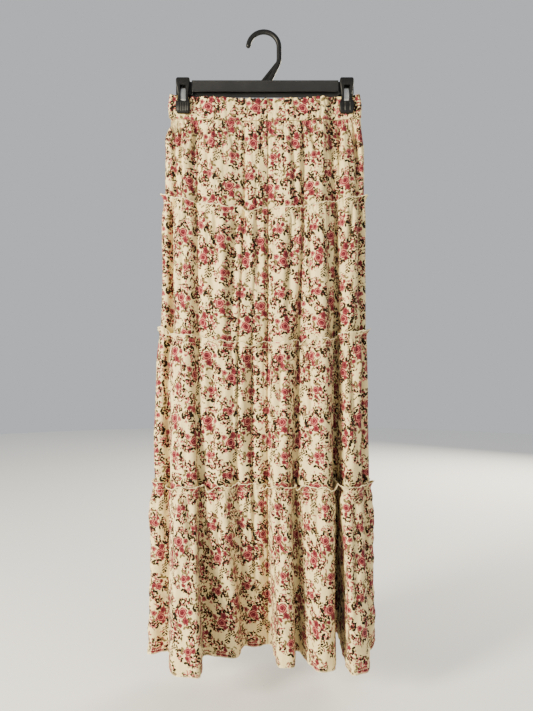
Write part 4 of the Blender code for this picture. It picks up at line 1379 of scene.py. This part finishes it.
def make_jaw(word, place, surface):
    """A front jaw: a grid across and down, with a slot, between its face and its flat back."""
    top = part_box(f"clip_{word}_front")[1].z / MM
    table = np.array(JAW)
    drops = np.concatenate([np.linspace(0, JAW_END, 62), [SLOT_TOP, SLOT_BOTTOM], table[:, 0]])
    drops = np.unique(drops)[:, None]
    half, stand = (
        np.array([eased(drop, table[:, 0], column, reach) for drop in drops[:, 0]])[:, None]
        for column, reach in ((table[:, 1], 0.5), (table[:, 2], 0.8))
    )
    across = np.linspace(-1, 1, 41)
    inner = np.abs(across) / JAW_CORE * SLOT_HALF
    outer = (np.abs(across) - JAW_CORE) / (1 - JAW_CORE)
    x = np.where(np.abs(across) <= JAW_CORE, inner, SLOT_HALF + outer * (half - SLOT_HALF))
    x = np.sign(across) * x
    face, z = jaw_face(word, x, half, stand, drops), top - np.broadcast_to(drops, x.shape)
    front = np.stack([place + x, -CLIP_FACE - face, z], axis=2)
    back = np.stack([place + x, np.full_like(x, -CLIP_FACE), z], axis=2)
    middle_x, middle_drop = (x[:-1, :-1] + x[1:, 1:]) / 2, (drops[:-1] + drops[1:]) / 2
    slot = (np.abs(middle_x) < SLOT_HALF) & (middle_drop > SLOT_TOP) & (middle_drop < SLOT_BOTTOM)
    piece = new_mesh(f"jaw_{word}", *plate(front, back, ~slot), sharp=45)
    outward_faces(piece)
    return place_piece(piece, surface, "hanger_plastic", f"clip_{word}_front")


def make_spring(word, place, surface):
    """The spring strip in the slot: bowed out as sin(pi t)^0.7 in its length, a little hollow
    across, with a rung near its foot."""
    down, across = np.linspace(0, 1, 40)[:, None], np.linspace(-1, 1, 13)
    bow = 1.1 * np.sin(math.pi * down) ** 0.7 + 0.5 * bell((down - 0.86) / 0.05)
    x, z = place + SPRING_HALF * across, SPRING_TOP - SPRING_LENGTH * down
    y = -CLIP_FACE - 0.9 - bow + 0.35 * across**2
    points = np.stack(np.broadcast_arrays(x, y, z), axis=2)
    piece = shell(f"spring_{word}", points, SPRING_WALL)
    outward_faces(piece)
    return place_piece(piece, surface, "spring_steel", f"clip_{word}_spring")


# ---------------------------------------------------------------- the stage


def make_floor():
    """A pale disc of rings below the hem."""
    floor_z = CAD_BOX[0][2] / MM - FLOOR_DROP / MM
    angle = np.linspace(0, 2 * math.pi, 65)
    radius = np.array(FLOOR_RINGS)[:, None] / MM
    points = np.broadcast_arrays(radius * np.cos(angle), radius * np.sin(angle), np.float64(floor_z))
    faces = grid_faces(len(FLOOR_RINGS), len(angle))
    floor = new_mesh("floor", np.stack(points, axis=2).reshape(-1, 3), faces)
    surface = Graph("pale floor").finished({"Base Color": (0.86, 0.86, 0.86, 1), "Roughness": 0.9})
    floor.data.materials.append(surface)


def make_lights():
    """An even sky and three warm disc lights that point at the middle of the skirt."""
    world = bpy.data.worlds.new("studio")
    world.use_nodes = True
    sky = world.node_tree.nodes["Background"]
    sky.inputs["Color"].default_value, sky.inputs["Strength"].default_value = SKY, SKY_STRENGTH
    bpy.context.scene.world = world
    for row in LIGHTS:
        data = bpy.data.lights.new(row.name, "AREA")
        data.shape, data.size, data.energy, data.color = "DISK", row.size, row.watts, WARM
        light = bpy.data.objects.new(row.name, data)
        light.location = row.place
        toward = Vector(LIGHT_TARGET) - Vector(row.place)
        light.rotation_euler = toward.to_track_quat("-Z", "Y").to_euler()
        bpy.context.scene.collection.objects.link(light)


def make_camera():
    """A level camera in front of the skirt."""
    data = bpy.data.cameras.new("camera")
    data.sensor_fit, data.sensor_height, data.sensor_width = "VERTICAL", 36.0, 36.0
    data.lens = LENS
    camera = bpy.data.objects.new("camera", data)
    camera.location = CAMERA_PLACE
    camera.rotation_euler = (math.radians(90), 0, 0)
    bpy.context.scene.collection.objects.link(camera)
    bpy.context.scene.camera = camera


# ---------------------------------------------------------------- operators


class SKIRT_OT_waistband(bpy.types.Operator):
    """Makes the gathered casing round the elastic."""

    bl_idname = "skirt.waistband"
    bl_label = "Waistband"

    def execute(self, context):
        cloth, cut = context.scene.skirt_cloth, CUTS[0]
        surface = made_once("printed voile", cloth_material, cloth)
        for word, side in SIDES.items():
            piece = make_waistband(word, side, cloth, surface)
        return {"FINISHED"}


class SKIRT_OT_tiers(bpy.types.Operator):
    """Makes the four gathered tiers, front and back, with their overlocked headings and stitching."""

    bl_idname = "skirt.tiers"
    bl_label = "Tiers"

    def execute(self, context):
        cloth = context.scene.skirt_cloth
        surface = made_once("printed voile", cloth_material, cloth)
        thread = made_once("cream thread", thread_material, THREAD_CREAM)
        for word, side in SIDES.items():
            for tier in (1, 2, 3, 4):
                piece, points = make_tier(word, side, tier, cloth, surface)
                if tier > 1:
                    name, row = f"gather_stitch{tier}_{word}", HEADING_ROWS - 1
                    make_overlock(word, tier, points[0], thread)
                    stitch_line(name, side, points, row, 0.3, thread)
                if tier == 4:
                    name, row = f"hem_stitch_{word}", 1 - len(HEM_ROWS)
                    stitch_line(name, side, points, row, 0.5, thread)
        return {"FINISHED"}


class SKIRT_OT_hook(bpy.types.Operator):
    """Makes the hanger's hook, with its leg and gusset."""

    bl_idname = "skirt.hook"
    bl_label = "Hook"

    def execute(self, context):
        settings = context.scene.skirt_hanger
        plastic = made_once("black plastic", plastic_material, settings.plastic, *PLASTIC_SHINE)
        make_hook(settings, plastic)
        return {"FINISHED"}


class SKIRT_OT_bar(bpy.types.Operator):
    """Makes the hanger's channelled bar, in its plastic made paler as a painted sheen."""

    bl_idname = "skirt.bar"
    bl_label = "Bar"

    def execute(self, context):
        # the hanger's plastic made paler: painted sheen that stands in for the bar's reflection
        colour = [BAR_PAINTED_SHEEN * part for part in context.scene.skirt_hanger.plastic]
        make_bar(made_once("bar plastic", plastic_material, colour, *BAR_SHINE))
        return {"FINISHED"}


class SKIRT_OT_clips(bpy.types.Operator):
    """Makes the front jaws and springs of the two clips, and finishes their back jaws."""

    bl_idname = "skirt.clips"
    bl_label = "Clips"

    def execute(self, context):
        colour = context.scene.skirt_hanger.plastic
        plastic = made_once("black plastic", plastic_material, colour, *PLASTIC_SHINE)
        steel = made_once("spring steel", steel_material)
        for word, place in zip(("left", "right"), CLIP_PLACE):
            make_jaw(word, place, plastic)
            make_spring(word, place, steel)
            back_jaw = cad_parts[f"clip_{word}_back"].data
            back_jaw.materials.clear()
            back_jaw.materials.append(plastic)
        return {"FINISHED"}


class SKIRT_OT_stage(bpy.types.Operator):
    """Makes the pale floor, the soft lights and the camera."""

    bl_idname = "skirt.stage"
    bl_label = "Stage"

    def execute(self, context):
        make_floor()
        make_lights()
        make_camera()
        return {"FINISHED"}


class SKIRT_PT_panel(bpy.types.Panel):
    """Lists the sizes and colours that can be changed, and the pieces that can be made."""

    bl_idname = "SKIRT_PT_panel"
    bl_label = "Tiered ruffle skirt"
    bl_space_type = "VIEW_3D"
    bl_region_type = "UI"
    bl_category = "Skirt"

    def draw(self, context):
        for settings in (context.scene.skirt_cloth, context.scene.skirt_hanger):
            for name in settings.bl_rna.properties.keys():
                if name not in ("rna_type", "name"):
                    self.layout.prop(settings, name)
        for operator in OPERATORS:
            self.layout.operator(operator.bl_idname)


OPERATORS = (
    SKIRT_OT_waistband,
    SKIRT_OT_tiers,
    SKIRT_OT_hook,
    SKIRT_OT_bar,
    SKIRT_OT_clips,
    SKIRT_OT_stage,
)
CLASSES = (SKIRT_PG_cloth, SKIRT_PG_hanger, *OPERATORS, SKIRT_PT_panel)


def register():
    """Register the classes and give every scene its settings."""
    for item in CLASSES:
        bpy.utils.register_class(item)
    bpy.types.Scene.skirt_cloth = bpy.props.PointerProperty(type=SKIRT_PG_cloth)
    bpy.types.Scene.skirt_hanger = bpy.props.PointerProperty(type=SKIRT_PG_hanger)


def unregister():
    """Undo register()."""
    del bpy.types.Scene.skirt_hanger
    del bpy.types.Scene.skirt_cloth
    for item in reversed(CLASSES):
        bpy.utils.unregister_class(item)


def main():
    """Make every piece and the stage."""
    register()
    bpy.ops.skirt.waistband()
    bpy.ops.skirt.tiers()
    bpy.ops.skirt.hook()
    bpy.ops.skirt.bar()
    bpy.ops.skirt.clips()
    bpy.ops.skirt.stage()


if __name__ == "__main__":
    main()
